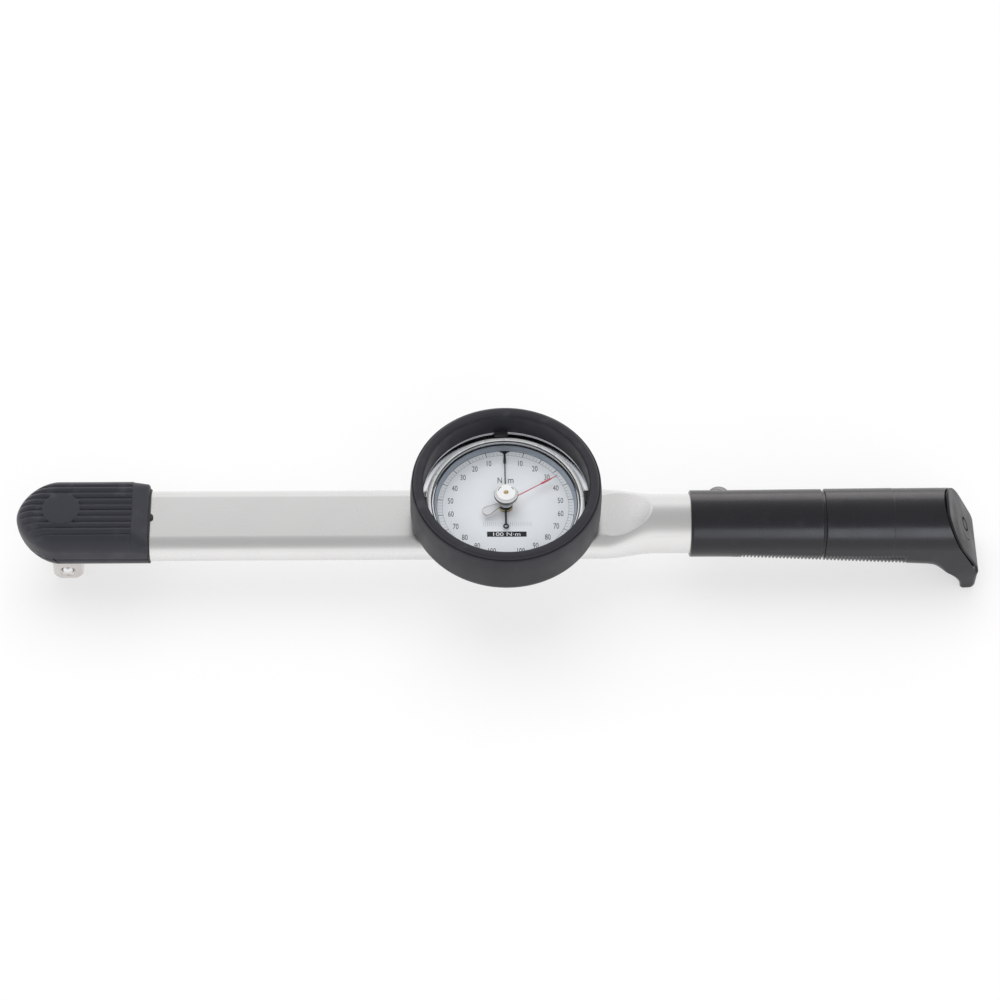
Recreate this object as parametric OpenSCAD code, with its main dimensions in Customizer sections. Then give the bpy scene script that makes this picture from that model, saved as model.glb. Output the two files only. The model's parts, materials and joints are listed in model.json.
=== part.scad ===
// Dial torque wrench, torsion-bar type, for tightening and checking in both directions.
// The frame: +X runs from the drive to the handle, +Z up out of the dial.
// The origin is the centre of the square drive, on the shoulder that a socket seats against.

/* [Drive] */
// Width of the square drive across its flats (half-inch drive)
drive_w = 12.7; // [12.6:0.05:12.8]
// Length of the square from the shoulder to its end
drive_len = 15; // [14:0.5:16]
// Height of the handle's axis above the drive shoulder
axis_z = 16; // [15.5:0.5:17]
// Radius of the round spindle above the square
spindle_r = 8.5; // [8.5:0.05:8.6]
// Diameter of the torsion bar's neck, which sets the stiffness
neck_d = 9.25; // [8.5:0.05:9.4]

/* [Head] */
// Radius of the cover's nose and half its width
cover_r = 18; // [17.9:0.1:19]
// Distance from the drive axis to the cover's rear edge
cover_end_x = 37.6; // [36:0.2:40]
// Radius of the steel head
head_r = 15.6; // [15.5:0.05:15.7]

/* [Arm] */
// Half the width of the flattened part of the tube
tube_half_w = 17; // [16.9:0.05:17.1]
// Half the height of the flattened part of the tube
tube_half_h = 7; // [6.9:0.05:7]
// Wall thickness of the tube
tube_wall = 1.5; // [1.4:0.05:1.6]
// Radius of the round part of the tube
tube_r = 13; // [12.8:0.1:13]
// Distance from the drive axis to the end of the tube
tube_end_x = 372; // [365:1:375]

/* [Grip] */
// Distance from the drive axis to the grip's front edge
grip_x = 273.2; // [270:0.5:276]
// Radius of the grip at its front
grip_r = 14.6; // [14.5:0.1:15]
// Distance from the drive axis to the force line, where the hand's force is centred
force_x = 331.6; // [325:1:340]

/* [Dial] */
// Tooth module of the sector and the pinion
gear_module = 0.3; // [0.3]
// Number of teeth on the pinion
pinion_teeth = 14; // [14]
// Number of teeth that the sector would have on a full circle
sector_teeth = 1270; // [1270]
// Outer radius of the bezel
bezel_r = 34.9; // [34.8:0.05:35]
// Largest radius of the guard ring
guard_r = 41.5; // [41.2:0.1:42]
// Height of the guard's lip above the handle's axis
guard_top = 32.2; // [31:0.1:33]

/* [Hidden] */
$fn = 96;

// Running clearance between a turning part and its bearing
run_gap = 0.05;
// Small overlap that keeps cutting shapes from ending on a face
bite = 0.5;

// Gear pair: the dial's axis stands one centre distance from the drive axis
dial_x = gear_module * (pinion_teeth + sector_teeth) / 2;
pinion_pitch_r = gear_module * pinion_teeth / 2;
sector_pitch_r = gear_module * sector_teeth / 2;
pressure = 25;
tooth_thinning = 0.02;
half_tooth = gear_module * PI / 4 - tooth_thinning;

// Head heights, measured from the handle's axis
cover_bottom = -8;
cover_top = 13.5;
cover_edge_r = 8;
ribs_end_x = 30.5;
collar_top = 8.6;
collar_edge_r = 4;
boss_r = 13;
boss_bottom = -9.5;
housing_bottom = -6.5;
foot_r = 13.2;
foot_top = -3.5;
cap_bottom = 6;
cap_step = 8.5;
cap_top = 11;
cap_r = 12;
chamber_r = 12.2;
chamber_floor = -1;
pin_circle_r = 13.8;
tang_end_x = 46;
slot_half_w = 8.5;
slot_bottom = -0.6;
slot_top = 2.6;
seal_r = 10.4;
bush_r = 10.2;
bar_bottom = -15;
bar_end_top = -11;
bar_end_r = 4.85;
bar_head_r = 6.5;
bar_head_bottom = 7;
spindle_top = 5;
cap_pin_r = 1.5;
cap_screw_r = 1.2;
cap_screw_head_r = 1.75;
cap_screw_seat = cap_step - 1.5;
tang_rivet_x = [24, 34];
tang_rivet_y = 12;
tang_rivet_r = 2;
tang_rivet_half = 5.6;
ball_r = 2.6;
ball_z = -25.5;
ball_out = 0.9;
ball_y = ball_r - ball_out - drive_w / 2;
ball_hole_end = 1.5;

// Arm
tube_x = 16;
flat_end_x = 235;
round_start_x = 258;
bore_half_w = tube_half_w - tube_wall;
bore_half_h = tube_half_h - tube_wall;
bore_r = tube_r - tube_wall;

// Lever and sector
lever_z = 0;
lever_top = 2;
hub_r = 11.6;
hub_bottom = -0.4;
hub_top = 4.4;
lever_end_x = 187;
sector_top = 3.2;
sector_inner_x = 174;
sector_each_side = 8;
sector_root_r = sector_pitch_r - 1.25 * gear_module;
sector_tip_r = sector_pitch_r + 0.9 * gear_module;
rivet_x = [178, 183];
rivet_r = 1;
clamp_screw_at = [-10.2, 2];
clamp_screw_r = 1.25;

// Dial stack heights, measured from the handle's axis
gasket_top = 7.5;
floor_top = 8.7;
case_top = 12.5;
case_r = 33.2;
case_wall = 1.5;
bridge_bottom = 11.1;
bridge_top = 12.1;
dial_bottom = 12.7;
dial_face = 13.5;
dial_r = 32.2;
ledge_z = 16;
lens_edge_bottom = 16.4;
lens_edge_top = 17.6;
lens_rise = 4.4;
lens_edge_r = 31.4;
lens_ball_r = (pow(lens_edge_r, 2) + pow(lens_rise, 2)) / (2 * lens_rise);
bezel_bottom = 8.9;
ring_bottom = 10.2;
ring_top = 11.2;
guard_bottom = 8.9;
guard_bore_r = 36.5;
lip_r = 1.6;
lip_in_r = 35.9;
lip_out_r = 40.2;
lip_edge_z = guard_top - 1.4;
band_t = 0.5;
band_top = 19;
tab_w = 5.8;
tab_turn = 2.5;
tab_top = 19.2;
case_screw_at = [14, 7];
case_screw_r = 1.5;
case_screw_head_r = 2.7;
case_screw_seat = floor_top;
case_screw_top = 10;
nut_bottom = 4.2;
pillar_y = 9;
pillar_r = 1.8;
pillar_screw_r = 1;
pillar_screw_head_r = 1.7;
pillar_screw_seat = bridge_top - 0.5;
upper_bush_r = 1.8;
foot_bottom = gasket_top + 0.2;

// Pinion arbor, its bearings and the hairspring
arbor_r = 0.8;
arbor_low_r = 1.2;
arbor_step = 9;
arbor_top = 15.6;
arbor_hole_r = 3.6;
pivot_r = 0.5;
pivot_bottom = -5.9;
pivot_top = -4.2;
pinion_bottom = 1.6;
pinion_top = 3.9;
lower_bush_r = 2;
lower_bush_bottom = -6.9;
lower_bush_top = -4.4;
stud_x = 6.4;
stud_r = 0.6;
hair_bottom = 9.5;
hair_top = 10.1;
collet_r = 1.5;

// Pointers and knob
pointer_bottom = 14.7;
pointer_top = 15.1;
pointer_tip_r = 28.6;
pointer_hub_r = 2.9;
boss_hub_r = 1.6;
memory_bottom = 17.05;
memory_top = 17.4;
memory_tip_r = 26.6;
memory_rest = -58.5;
post_r = 1.5;
knob_r = 5.2;
knob_bottom = 22.15;
knob_top = 24.4;
knob_screw_r = 0.8;
knob_screw_bottom = 20;
knob_screw_head_r = 1;
knob_screw_seat = 23.2;
needle_hub_r = 2.3;
flange_r = 3.4;
flange_top = memory_top + 0.5;

// Grip
grip_end_r = 15.2;
barrel_end_x = 290;
body_end_x = 382;
heel_x = 401.4;
heel_low = -(axis_z + drive_len);
grip_bore_r = tube_r + run_gap;
grip_screw_x = 286.8;
grip_screw_r = 2.5;
grip_screw_seat = 13.6;
grip_screw_bottom = 5;
grip_screw_head_r = 5.25;

// ---- helpers ----

// Lifts a shape from the drive shoulder to the handle's axis
module at_axis() {
    translate([0, 0, axis_z]) children();
}

// Moves a shape to the dial's axis
module at_dial() {
    translate([dial_x, 0, axis_z]) children();
}

// Plain disc between two heights
module disc(r, z0, z1) {
    translate([0, 0, z0]) linear_extrude(z1 - z0) circle(r);
}

// Ring between two heights
module ring(r_out, r_in, z0, z1) {
    translate([0, 0, z0]) linear_extrude(z1 - z0) difference() {
        circle(r_out);
        circle(r_in);
    }
}

// Block between two corners
module block(low, high) {
    translate(low) cube(high - low);
}

// Extrudes a Y-Z outline along +X between two places
module along_x(x0, x1) {
    translate([x0, 0, 0]) rotate([90, 0, 90]) linear_extrude(x1 - x0) children();
}

// Turns a shape built on +Z so that it points along +Y
module facing_y() {
    rotate([-90, 0, 0]) children();
}

// Flat bar with fully round sides
module stadium(half_w, half_h) {
    side = half_w - half_h;
    translate([-side, -half_h]) square([2 * side, 2 * half_h]);
    for (s = [-1, 1]) translate([s * side, 0]) circle(half_h);
}

// Rectangle with round corners, between two heights
module soft_box(half_w, low, high, r) {
    translate([-half_w, low + r]) square([2 * half_w, high - low - 2 * r]);
    translate([r - half_w, low]) square([2 * (half_w - r), high - low]);
    for (s = [-1, 1]) {
        translate([s * (half_w - r), low + r]) circle(r);
        translate([s * (half_w - r), high - r]) circle(r);
    }
}

// Points on an arc about a centre
function arc(centre, r, from, to, steps) =
    [for (i = [0:steps]) let (a = from + (to - from) * i / steps)
        centre + r * [cos(a), sin(a)]];

// Point at a radius and an angle
function polar(r, a) = [r * cos(a), r * sin(a)];

// ---- head ----

module cover_outline() {
    soft_box(cover_r, cover_bottom, cover_top, cover_edge_r);
}

module cover_half_outline() {
    intersection() {
        cover_outline();
        translate([0, cover_bottom]) square([cover_r, cover_top - cover_bottom]);
    }
}

module cover_cavity() {
    gap = 0.2;
    rotate_extrude() polygon([
        [0, housing_bottom - gap], [foot_r + gap, housing_bottom - gap],
        [head_r + gap, foot_top - gap], [head_r + gap, cap_step + gap],
        [cap_r + 1.5 + gap, cap_top + gap], [0, cap_top + gap]
    ]);
    along_x(0, cover_end_x + bite) stadium(tube_half_w + gap, tube_half_h + gap);
}

module head_cover() {
    nose_x = -1.9;
    sliver = 0.02;
    at_axis() color("#3d3f47") difference() {
        union() {
            translate([nose_x, 0, 0]) rotate_extrude() cover_half_outline();
            along_x(nose_x, ribs_end_x) cover_outline();
            hull() {
                along_x(ribs_end_x - sliver, ribs_end_x) cover_outline($fn = 32);
                along_x(cover_end_x - sliver, cover_end_x)
                    soft_box(cover_r, cover_bottom, collar_top, collar_edge_r, $fn = 32);
            }
            disc(boss_r, boss_bottom, cover_bottom + bite);
        }
        cover_cavity();
        disc(seal_r, boss_bottom - bite, housing_bottom);
    }
}

module drive_seal() {
    at_axis() color("#26262a")
        ring(seal_r, spindle_r + run_gap, boss_bottom + 0.2, housing_bottom - 0.25);
}

module head_housing() {
    at_axis() color("#8d9096") difference() {
        union() {
            rotate_extrude() polygon([[0, housing_bottom], [foot_r, housing_bottom],
                [head_r, foot_top], [head_r, cap_bottom], [0, cap_bottom]]);
            along_x(0, tang_end_x) stadium(bore_half_w - 0.1, bore_half_h - 0.1);
        }
        disc(bush_r, housing_bottom - bite, chamber_floor + bite);
        disc(chamber_r, chamber_floor, cap_bottom + bite);
        block([0, -slot_half_w, slot_bottom], [tang_end_x + bite, slot_half_w, slot_top]);
        pin_holes(chamber_floor);
        tang_rivet_shape();
    }
}

// Pin and screw positions around the rim of the head
module on_rim(angles) {
    for (a = angles) rotate(a) translate([pin_circle_r, 0, 0]) children();
}

module pin_holes(low) {
    on_rim([45:90:315]) disc(cap_pin_r, low, cap_step + bite);
    on_rim([90, 270]) disc(cap_screw_r, low, cap_step + bite);
}

module head_cap() {
    at_axis() color("#8d9096") difference() {
        union() {
            disc(head_r, cap_bottom, cap_step);
            disc(cap_r, cap_step, cap_top);
        }
        disc(neck_d / 2 + 0.4, cap_bottom - bite, bar_head_bottom + bite);
        disc(bar_head_r, bar_head_bottom, cap_top + bite);
        pin_holes(cap_bottom - bite);
        on_rim([90, 270]) disc(cap_screw_head_r, cap_screw_seat, cap_step + bite);
    }
}

module cap_pins() {
    at_axis() color("#b8babd") on_rim([45:90:315]) disc(cap_pin_r, chamber_floor, cap_step);
}

module cap_screws() {
    slot_w = 0.5;
    slot_depth = 0.6;
    at_axis() color("#55575c") on_rim([90, 270]) difference() {
        union() {
            disc(cap_screw_r, chamber_floor, cap_screw_seat);
            disc(cap_screw_head_r, cap_screw_seat, cap_step);
        }
        block([-slot_w / 2, -2, cap_step - slot_depth], [slot_w / 2, 2, cap_step + bite]);
    }
}

module torsion_bar() {
    at_axis() color("#9a9ca0") union() {
        disc(bar_end_r, bar_bottom, bar_end_top);
        disc(neck_d / 2, bar_end_top, bar_head_bottom);
        disc(bar_head_r, bar_head_bottom, cap_top);
    }
}

module spindle_bush() {
    at_axis() color("#b08d4f")
        ring(bush_r, spindle_r + run_gap, housing_bottom, chamber_floor);
}

module thrust_washer() {
    at_axis() color("#b08d4f")
        ring(hub_r, spindle_r + run_gap, chamber_floor, hub_bottom - run_gap);
}

module tang_rivet_shape() {
    for (x = tang_rivet_x) for (s = [-1, 1])
        translate([x, s * tang_rivet_y, 0]) disc(tang_rivet_r, -tang_rivet_half, tang_rivet_half);
}

module tang_rivets() {
    at_axis() color("#a5a7ab") tang_rivet_shape();
}

// ---- drive ----

module square_end() {
    chamfer = 1.2;
    tip_r = drive_w * sqrt(2) / 2 - chamfer;
    root_r = drive_w * sqrt(2) / 2;
    intersection() {
        block([-drive_w / 2, -drive_w / 2, -drive_len], [drive_w / 2, drive_w / 2, bite]);
        rotate_extrude() polygon([[0, -drive_len], [tip_r, -drive_len],
            [root_r, chamfer - drive_len], [root_r, bite], [0, bite]]);
    }
}

module drive_spindle() {
    chamfer = 0.6;
    ball_hole_r = ball_r + run_gap;
    mouth_r = 2.3;
    mouth_end = 0.35 - drive_w / 2;
    color("#d0cdc8") difference() {
        union() {
            rotate_extrude() polygon([[0, 0], [spindle_r - chamfer, 0], [spindle_r, chamfer],
                [spindle_r, axis_z + spindle_top], [0, axis_z + spindle_top]]);
            square_end();
        }
        disc(bar_end_r + run_gap, axis_z + bar_bottom - run_gap, axis_z + spindle_top + bite);
        translate([0, 0, axis_z + ball_z]) facing_y() {
            disc(ball_hole_r, mouth_end, ball_hole_end);
            disc(mouth_r, -drive_w / 2 - bite, 0);
        }
    }
}

module detent_ball() {
    color("#e4e4e6") translate([0, ball_y, axis_z + ball_z]) sphere(ball_r);
}

module detent_spring() {
    wire_r = 0.25;
    coil_r = 1.5;
    turns = 3;
    start_y = ball_y + ball_r + 0.1;
    pitch = (ball_hole_end - start_y - wire_r) / turns;
    color("#c8c8ca") translate([0, start_y, axis_z + ball_z]) facing_y()
        for (i = [0:turns - 1]) translate([0, 0, wire_r + i * pitch])
            rotate_extrude() translate([coil_r, 0]) circle(wire_r, $fn = 16);
}

module lever_outline() {
    polygon([[hub_r - 2, -5], [lever_end_x - 20, -3.6], [lever_end_x, -5], [lever_end_x, 5],
        [lever_end_x - 20, 3.6], [hub_r - 2, 5]]);
}

module rivet_holes(r, z0, z1) {
    for (x = rivet_x) translate([x, 0, 0]) disc(r, z0, z1);
}

module lever() {
    slit = 1;
    at_axis() color("#a9abb0") difference() {
        union() {
            difference() {
                disc(hub_r, hub_bottom, hub_top);
                block([-hub_r - bite, -slit / 2, hub_bottom - bite], [0, slit / 2, hub_top + bite]);
            }
            translate([0, 0, lever_z]) linear_extrude(lever_top - lever_z) lever_outline();
        }
        disc(spindle_r, hub_bottom - bite, hub_top + bite);
        clamp_screw_place() disc(clamp_screw_r, -hub_r / 2, hub_r / 2);
        rivet_holes(rivet_r, lever_z - bite, lever_top + bite);
    }
}

// The clamp screw crosses the slit in the lever's hub
module clamp_screw_place() {
    translate([clamp_screw_at[0], 0, clamp_screw_at[1]]) facing_y() children();
}

module lever_screw() {
    half_len = 3.8;
    at_axis() color("#4a4c50") clamp_screw_place() disc(clamp_screw_r, -half_len, half_len);
}

// One straight-sided tooth of the sector, as points on its outline
function sector_tooth(i) =
    let (
        mid = i * 360 / sector_teeth,
        root_half = half_tooth + (sector_pitch_r - sector_root_r) * tan(pressure),
        tip_half = half_tooth - (sector_tip_r - sector_pitch_r) * tan(pressure),
        root_a = root_half / sector_root_r * 180 / PI,
        tip_a = tip_half / sector_tip_r * 180 / PI
    )
    [polar(sector_root_r, mid - root_a), polar(sector_tip_r, mid - tip_a),
        polar(sector_tip_r, mid + tip_a), polar(sector_root_r, mid + root_a)];

module sector_rack() {
    edge_a = (sector_each_side + 0.7) * 360 / sector_teeth;
    teeth = [for (i = [-sector_each_side:sector_each_side]) each sector_tooth(i)];
    outline = concat([[sector_inner_x, -5], polar(sector_root_r, -edge_a)], teeth,
        [polar(sector_root_r, edge_a), [sector_inner_x, 5]]);
    at_axis() color("#c9a85a") difference() {
        translate([0, 0, lever_top]) linear_extrude(sector_top - lever_top) polygon(outline);
        rivet_holes(rivet_r, lever_top - bite, sector_top + bite);
    }
}

module rack_rivets() {
    at_axis() color("#c9a85a") {
        rivet_holes(rivet_r, lever_z, sector_top);
        rivet_holes(1.5 * rivet_r, sector_top, sector_top + 0.4);
    }
}

// ---- tube ----

module tube_slice(x, w, h, r) {
    along_x(x, x + 0.02) if (r > 0) circle(r, $fn = 64); else stadium(w, h, $fn = 64);
}

module tube() {
    at_axis() color("#d6d4d2") difference() {
        union() {
            along_x(tube_x, flat_end_x) difference() {
                stadium(tube_half_w, tube_half_h);
                stadium(bore_half_w, bore_half_h);
            }
            difference() {
                hull() {
                    tube_slice(flat_end_x, tube_half_w, tube_half_h, 0);
                    tube_slice(round_start_x - 0.02, 0, 0, tube_r);
                }
                hull() {
                    tube_slice(flat_end_x - 0.02, bore_half_w, bore_half_h, 0);
                    tube_slice(round_start_x, 0, 0, bore_r);
                }
            }
            along_x(round_start_x, tube_end_x) difference() {
                circle(tube_r);
                circle(bore_r);
            }
        }
        tang_rivet_shape();
        translate([dial_x, 0, 0]) {
            disc(arbor_hole_r, 0, tube_half_h + bite);
            disc(lower_bush_r, -tube_half_h - bite, 0);
            case_screw_places() disc(case_screw_r, 0, tube_half_h + bite);
        }
        translate([grip_screw_x, 0, 0]) facing_y() disc(grip_screw_r + 0.1, 0, tube_r + bite);
    }
}

// ---- dial case and movement ----

module case_screw_places() {
    for (sx = [-1, 1]) for (sy = [-1, 1])
        translate([sx * case_screw_at[0], sy * case_screw_at[1], 0]) children();
}

module case_gasket() {
    half_len = 22;
    half_w = 9.8;
    at_dial() color("#2b2b2e") difference() {
        block([-half_len, -half_w, tube_half_h], [half_len, half_w, gasket_top]);
        disc(arbor_hole_r, 0, gasket_top + bite);
        case_screw_places() disc(case_screw_r, 0, gasket_top + bite);
    }
}

module dial_case() {
    ring_groove = 0.9;
    at_dial() color("#303136") difference() {
        disc(case_r, gasket_top, case_top);
        disc(case_r - case_wall, floor_top, case_top + bite);
        ring(case_r + bite, case_r - ring_groove, ring_bottom, ring_top);
        disc(arbor_hole_r, 0, floor_top + bite);
        case_screw_places() disc(case_screw_r, 0, floor_top + bite);
        pillar_places() disc(pillar_screw_r, 0, floor_top + bite);
        translate([stud_x, 0, 0]) disc(stud_r, 0, floor_top + bite);
    }
}

module case_screws() {
    slot_w = 0.7;
    slot_depth = 0.7;
    at_dial() color("#9fa1a5") case_screw_places() difference() {
        union() {
            disc(case_screw_r, nut_bottom, case_screw_seat);
            disc(case_screw_head_r, case_screw_seat, case_screw_top);
        }
        block([-3, -slot_w / 2, case_screw_top - slot_depth], [3, slot_w / 2, case_screw_top + bite]);
    }
}

module nut_plate() {
    half_len = 19;
    half_w = 9.6;
    at_dial() color("#85878c") difference() {
        block([-half_len, -half_w, nut_bottom], [half_len, half_w, bore_half_h]);
        disc(arbor_hole_r + 1.4, nut_bottom - bite, bore_half_h + bite);
        case_screw_places() disc(case_screw_r, nut_bottom - bite, bore_half_h + bite);
    }
}

module pillar_places() {
    for (s = [-1, 1]) translate([0, s * pillar_y, 0]) children();
}

module bridge_pillars() {
    at_dial() color("#c9a85a") pillar_places()
        ring(pillar_r, pillar_screw_r, floor_top, bridge_bottom);
}

module movement_bridge() {
    half_len = 11.5;
    half_w = 3.5;
    at_dial() color("#c9a85a") difference() {
        block([-half_w, -half_len, bridge_bottom], [half_w, half_len, bridge_top]);
        disc(upper_bush_r, bridge_bottom - bite, bridge_top + bite);
        pillar_places() {
            disc(pillar_screw_r, bridge_bottom - bite, bridge_top + bite);
            disc(pillar_screw_head_r, pillar_screw_seat, bridge_top + bite);
        }
    }
}

module bridge_screws() {
    slot_w = 0.4;
    slot_depth = 0.3;
    at_dial() color("#9fa1a5") pillar_places() difference() {
        union() {
            disc(pillar_screw_r, foot_bottom, pillar_screw_seat);
            disc(pillar_screw_head_r, pillar_screw_seat, bridge_top);
        }
        block([-2, -slot_w / 2, bridge_top - slot_depth], [2, slot_w / 2, bridge_top + bite]);
    }
}

module upper_bush() {
    at_dial() color("#b08d4f")
        ring(upper_bush_r, arbor_r + run_gap, bridge_bottom - 0.2, bridge_top + 0.2);
}

module lower_bush() {
    at_dial() color("#b08d4f") difference() {
        disc(lower_bush_r, lower_bush_bottom, lower_bush_top);
        disc(pivot_r + run_gap, pivot_bottom - 0.1, lower_bush_top + bite);
    }
}

module hairspring_stud() {
    at_dial() color("#c9a85a") translate([stud_x, 0, 0])
        disc(stud_r, foot_bottom, hair_top + 0.5);
}

// The hairspring winds from the collet out to its stud
module hairspring() {
    turns = 3;
    inner_r = collet_r + 0.15;
    outer_r = stud_x - stud_r - 0.15;
    half_t = 0.08;
    steps = 24 * turns;
    spiral = [for (i = [0:steps])
        [inner_r + (outer_r - inner_r) * i / steps, 360 * turns * i / steps]];
    outline = concat([for (p = spiral) polar(p[0] + half_t, p[1])],
        [for (i = [steps:-1:0]) polar(spiral[i][0] - half_t, spiral[i][1])]);
    at_dial() color("#7c8fa8") translate([0, 0, hair_bottom])
        linear_extrude(hair_top - hair_bottom) polygon(outline);
}

// Involute function of a pressure angle, in degrees
function inv(a) = tan(a) * 180 / PI - a;

// Half the angle that a pinion tooth fills at a radius
function pinion_half_angle(r) =
    half_tooth / pinion_pitch_r * 180 / PI + inv(pressure)
    - inv(acos(min(1, pinion_pitch_r * cos(pressure) / r)));

// One involute tooth of the pinion, as points on its outline
function pinion_tooth(i) =
    let (
        mid = (i + 0.5) * 360 / pinion_teeth,
        base_r = pinion_pitch_r * cos(pressure),
        root_r = pinion_pitch_r - 1.2 * gear_module,
        tip_r = pinion_pitch_r + 0.9 * gear_module,
        radii = [for (k = [0:4]) base_r + (tip_r - base_r) * k / 4]
    )
    concat(
        [polar(root_r, mid - pinion_half_angle(base_r))],
        [for (r = radii) polar(r, mid - pinion_half_angle(r))],
        [for (k = [4:-1:0]) polar(radii[k], mid + pinion_half_angle(radii[k]))],
        [polar(root_r, mid + pinion_half_angle(base_r))]
    );

module pinion() {
    at_dial() color("#c9a85a") union() {
        disc(pivot_r, pivot_bottom, pivot_top);
        disc(arbor_low_r, pivot_top, pinion_bottom);
        translate([0, 0, pinion_bottom]) linear_extrude(pinion_top - pinion_bottom)
            polygon([for (i = [0:pinion_teeth - 1]) each pinion_tooth(i)]);
        disc(arbor_low_r, pinion_top, arbor_step);
        disc(arbor_r, arbor_step, arbor_top);
    }
}

module hairspring_collet() {
    at_dial() color("#b08d4f") ring(collet_r, arbor_r, hair_bottom - 0.3, hair_top + 0.3);
}

module pointer_hub() {
    at_dial() color("#c2b280") difference() {
        union() {
            disc(boss_hub_r, dial_face + 0.4, arbor_top);
            disc(pointer_hub_r, dial_face + 0.4, pointer_bottom);
        }
        disc(arbor_r, dial_face, arbor_top + bite);
    }
}

module main_pointer() {
    tail_r = 11.3;
    tail_ring_r = 1.3;
    tail_hole_r = 0.65;
    at_dial() color("#17171a") translate([0, 0, pointer_bottom])
        linear_extrude(pointer_top - pointer_bottom) difference() {
            union() {
                circle(pointer_hub_r);
                polygon([[0.3, 2], [0.22, 18.5], [0.45, 19.5], [0.1, pointer_tip_r],
                    [-0.1, pointer_tip_r], [-0.45, 19.5], [-0.22, 18.5], [-0.3, 2]]);
                polygon([[-0.5, -2], [-0.42, -10.3], [0.42, -10.3], [0.5, -2]]);
                translate([0, -tail_r]) circle(tail_ring_r);
            }
            circle(boss_hub_r);
            translate([0, -tail_r]) circle(tail_hole_r);
        }
}

// ---- turning scale: bezel, dial, lens and guard ----

module bezel_snap_ring() {
    opening = 8;
    at_dial() color("#b9bbbe") translate([0, 0, ring_bottom])
        linear_extrude(ring_top - ring_bottom) difference() {
            circle(case_r + 0.4);
            circle(case_r - 0.85);
            polygon([[0, 0], polar(2 * case_r, -opening / 2), polar(2 * case_r, opening / 2)]);
        }
}

module bezel() {
    skirt_r = case_r + 0.1;
    at_dial() color("#dfe1e4") rotate_extrude() polygon(concat(
        [[skirt_r, bezel_bottom], [bezel_r, bezel_bottom]],
        arc([bezel_r - 0.4, 16.5], 0.4, 0, 120, 4),
        [[34.1, 16.4], [33.85, 16.6]],
        arc([33.1, 17.4], 0.75, 0, 135, 6),
        [[lens_edge_r + 0.1, 17.95], [lens_edge_r + 0.1, lens_edge_top + run_gap]],
        [[dial_r, lens_edge_top + run_gap], [dial_r, ledge_z], [31.1, ledge_z]],
        [[29.7, dial_face], [dial_r, dial_face], [dial_r, dial_bottom], [skirt_r, dial_bottom]],
        [[skirt_r, ring_top + 0.1], [case_r + 0.5, ring_top + 0.1]],
        [[case_r + 0.5, ring_bottom - 0.1], [skirt_r, ring_bottom - 0.1]]
    ));
}

module dial_plate() {
    at_dial() color("#eceef2") ring(dial_r, 3, dial_bottom, dial_face);
}

module lens_gasket() {
    at_dial() color("#202024") ring(dial_r - 0.05, 31.4, ledge_z, lens_edge_bottom);
}

// Height of a lens face at a radius, from its height at the lens's edge
function lens_face(edge_z, r) =
    edge_z + lens_rise - lens_ball_r + sqrt(pow(lens_ball_r, 2) - pow(r, 2));

module lens() {
    hole_r = post_r + run_gap;
    steps = 12;
    radii = [for (i = [0:steps]) hole_r + (lens_edge_r - hole_r) * i / steps];
    at_dial() color([0.9, 0.95, 1, 0.3]) rotate_extrude() polygon(concat(
        [for (r = radii) [r, lens_face(lens_edge_bottom, r)]],
        [[dial_r - 0.1, lens_edge_bottom], [dial_r - 0.1, lens_edge_top]],
        [for (i = [steps:-1:0]) [radii[i], lens_face(lens_edge_top, radii[i])]]
    ));
}

module quarter_turns() {
    for (a = [tab_turn:90:270 + tab_turn]) rotate(a) children();
}

// A piece of a ring, as wide as a tab, on the +Y side
module tab(r_in, r_out, z0, z1) {
    intersection() {
        ring(r_out, r_in, z0, z1);
        block([-tab_w / 2, 0, z0 - bite], [tab_w / 2, 2 * r_out, z1 + bite]);
    }
}

module guard() {
    foot_r = 4;
    at_dial() color("#34343a") {
        rotate_extrude() polygon(concat(
            [[guard_bore_r, guard_bottom]],
            arc([guard_r - foot_r, guard_bottom + foot_r], foot_r, -90, 0, 8),
            [[guard_r, 26], [guard_r - 0.8, lip_edge_z], [guard_r - 1.2, lip_edge_z]],
            arc([lip_out_r - lip_r, guard_top - lip_r], lip_r, 30, 90, 6),
            arc([lip_in_r + lip_r, guard_top - lip_r], lip_r, 90, 180, 6),
            [[lip_in_r, guard_top - 4], [guard_bore_r, guard_top - 8]]
        ));
        quarter_turns() {
            tab(bezel_r, guard_bore_r + bite, 10, tab_top);
            tab(bezel_r - 0.8, bezel_r + bite, 17, tab_top);
        }
    }
}

module guard_band() {
    at_dial() color("#d8dadd") difference() {
        ring(guard_bore_r, guard_bore_r - band_t, guard_bottom + 0.6, band_top);
        quarter_turns() block([-tab_w / 2 - 0.05, 30, 9.9], [tab_w / 2 + 0.05, 40, band_top + bite]);
    }
}

// ---- memory pointer and its knob ----

module memory_plate() {
    at_dial() rotate(memory_rest) translate([0, 0, memory_bottom])
        linear_extrude(memory_top - memory_bottom) children();
}

module memory_pointer() {
    color("#c8283c") memory_plate() difference() {
        union() {
            circle(needle_hub_r);
            polygon([[0.4, 2], [0.16, 17.6], [0.45, 19], [0.38, 22.6], [0.12, 24], [0.1, memory_tip_r],
                [-0.1, memory_tip_r], [-0.12, 24], [-0.38, 22.6], [-0.45, 19], [-0.16, 17.6],
                [-0.4, 2]]);
        }
        circle(post_r);
    }
}

module memory_tail() {
    end_y = -9.5;
    end_r = 2.1;
    color("#f0efec") memory_plate() difference() {
        union() {
            translate([0, end_y]) circle(end_r);
            polygon([[-0.8, -2], [-end_r, end_y], [end_r, end_y], [0.8, -2]]);
        }
        circle(needle_hub_r);
    }
}

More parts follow.
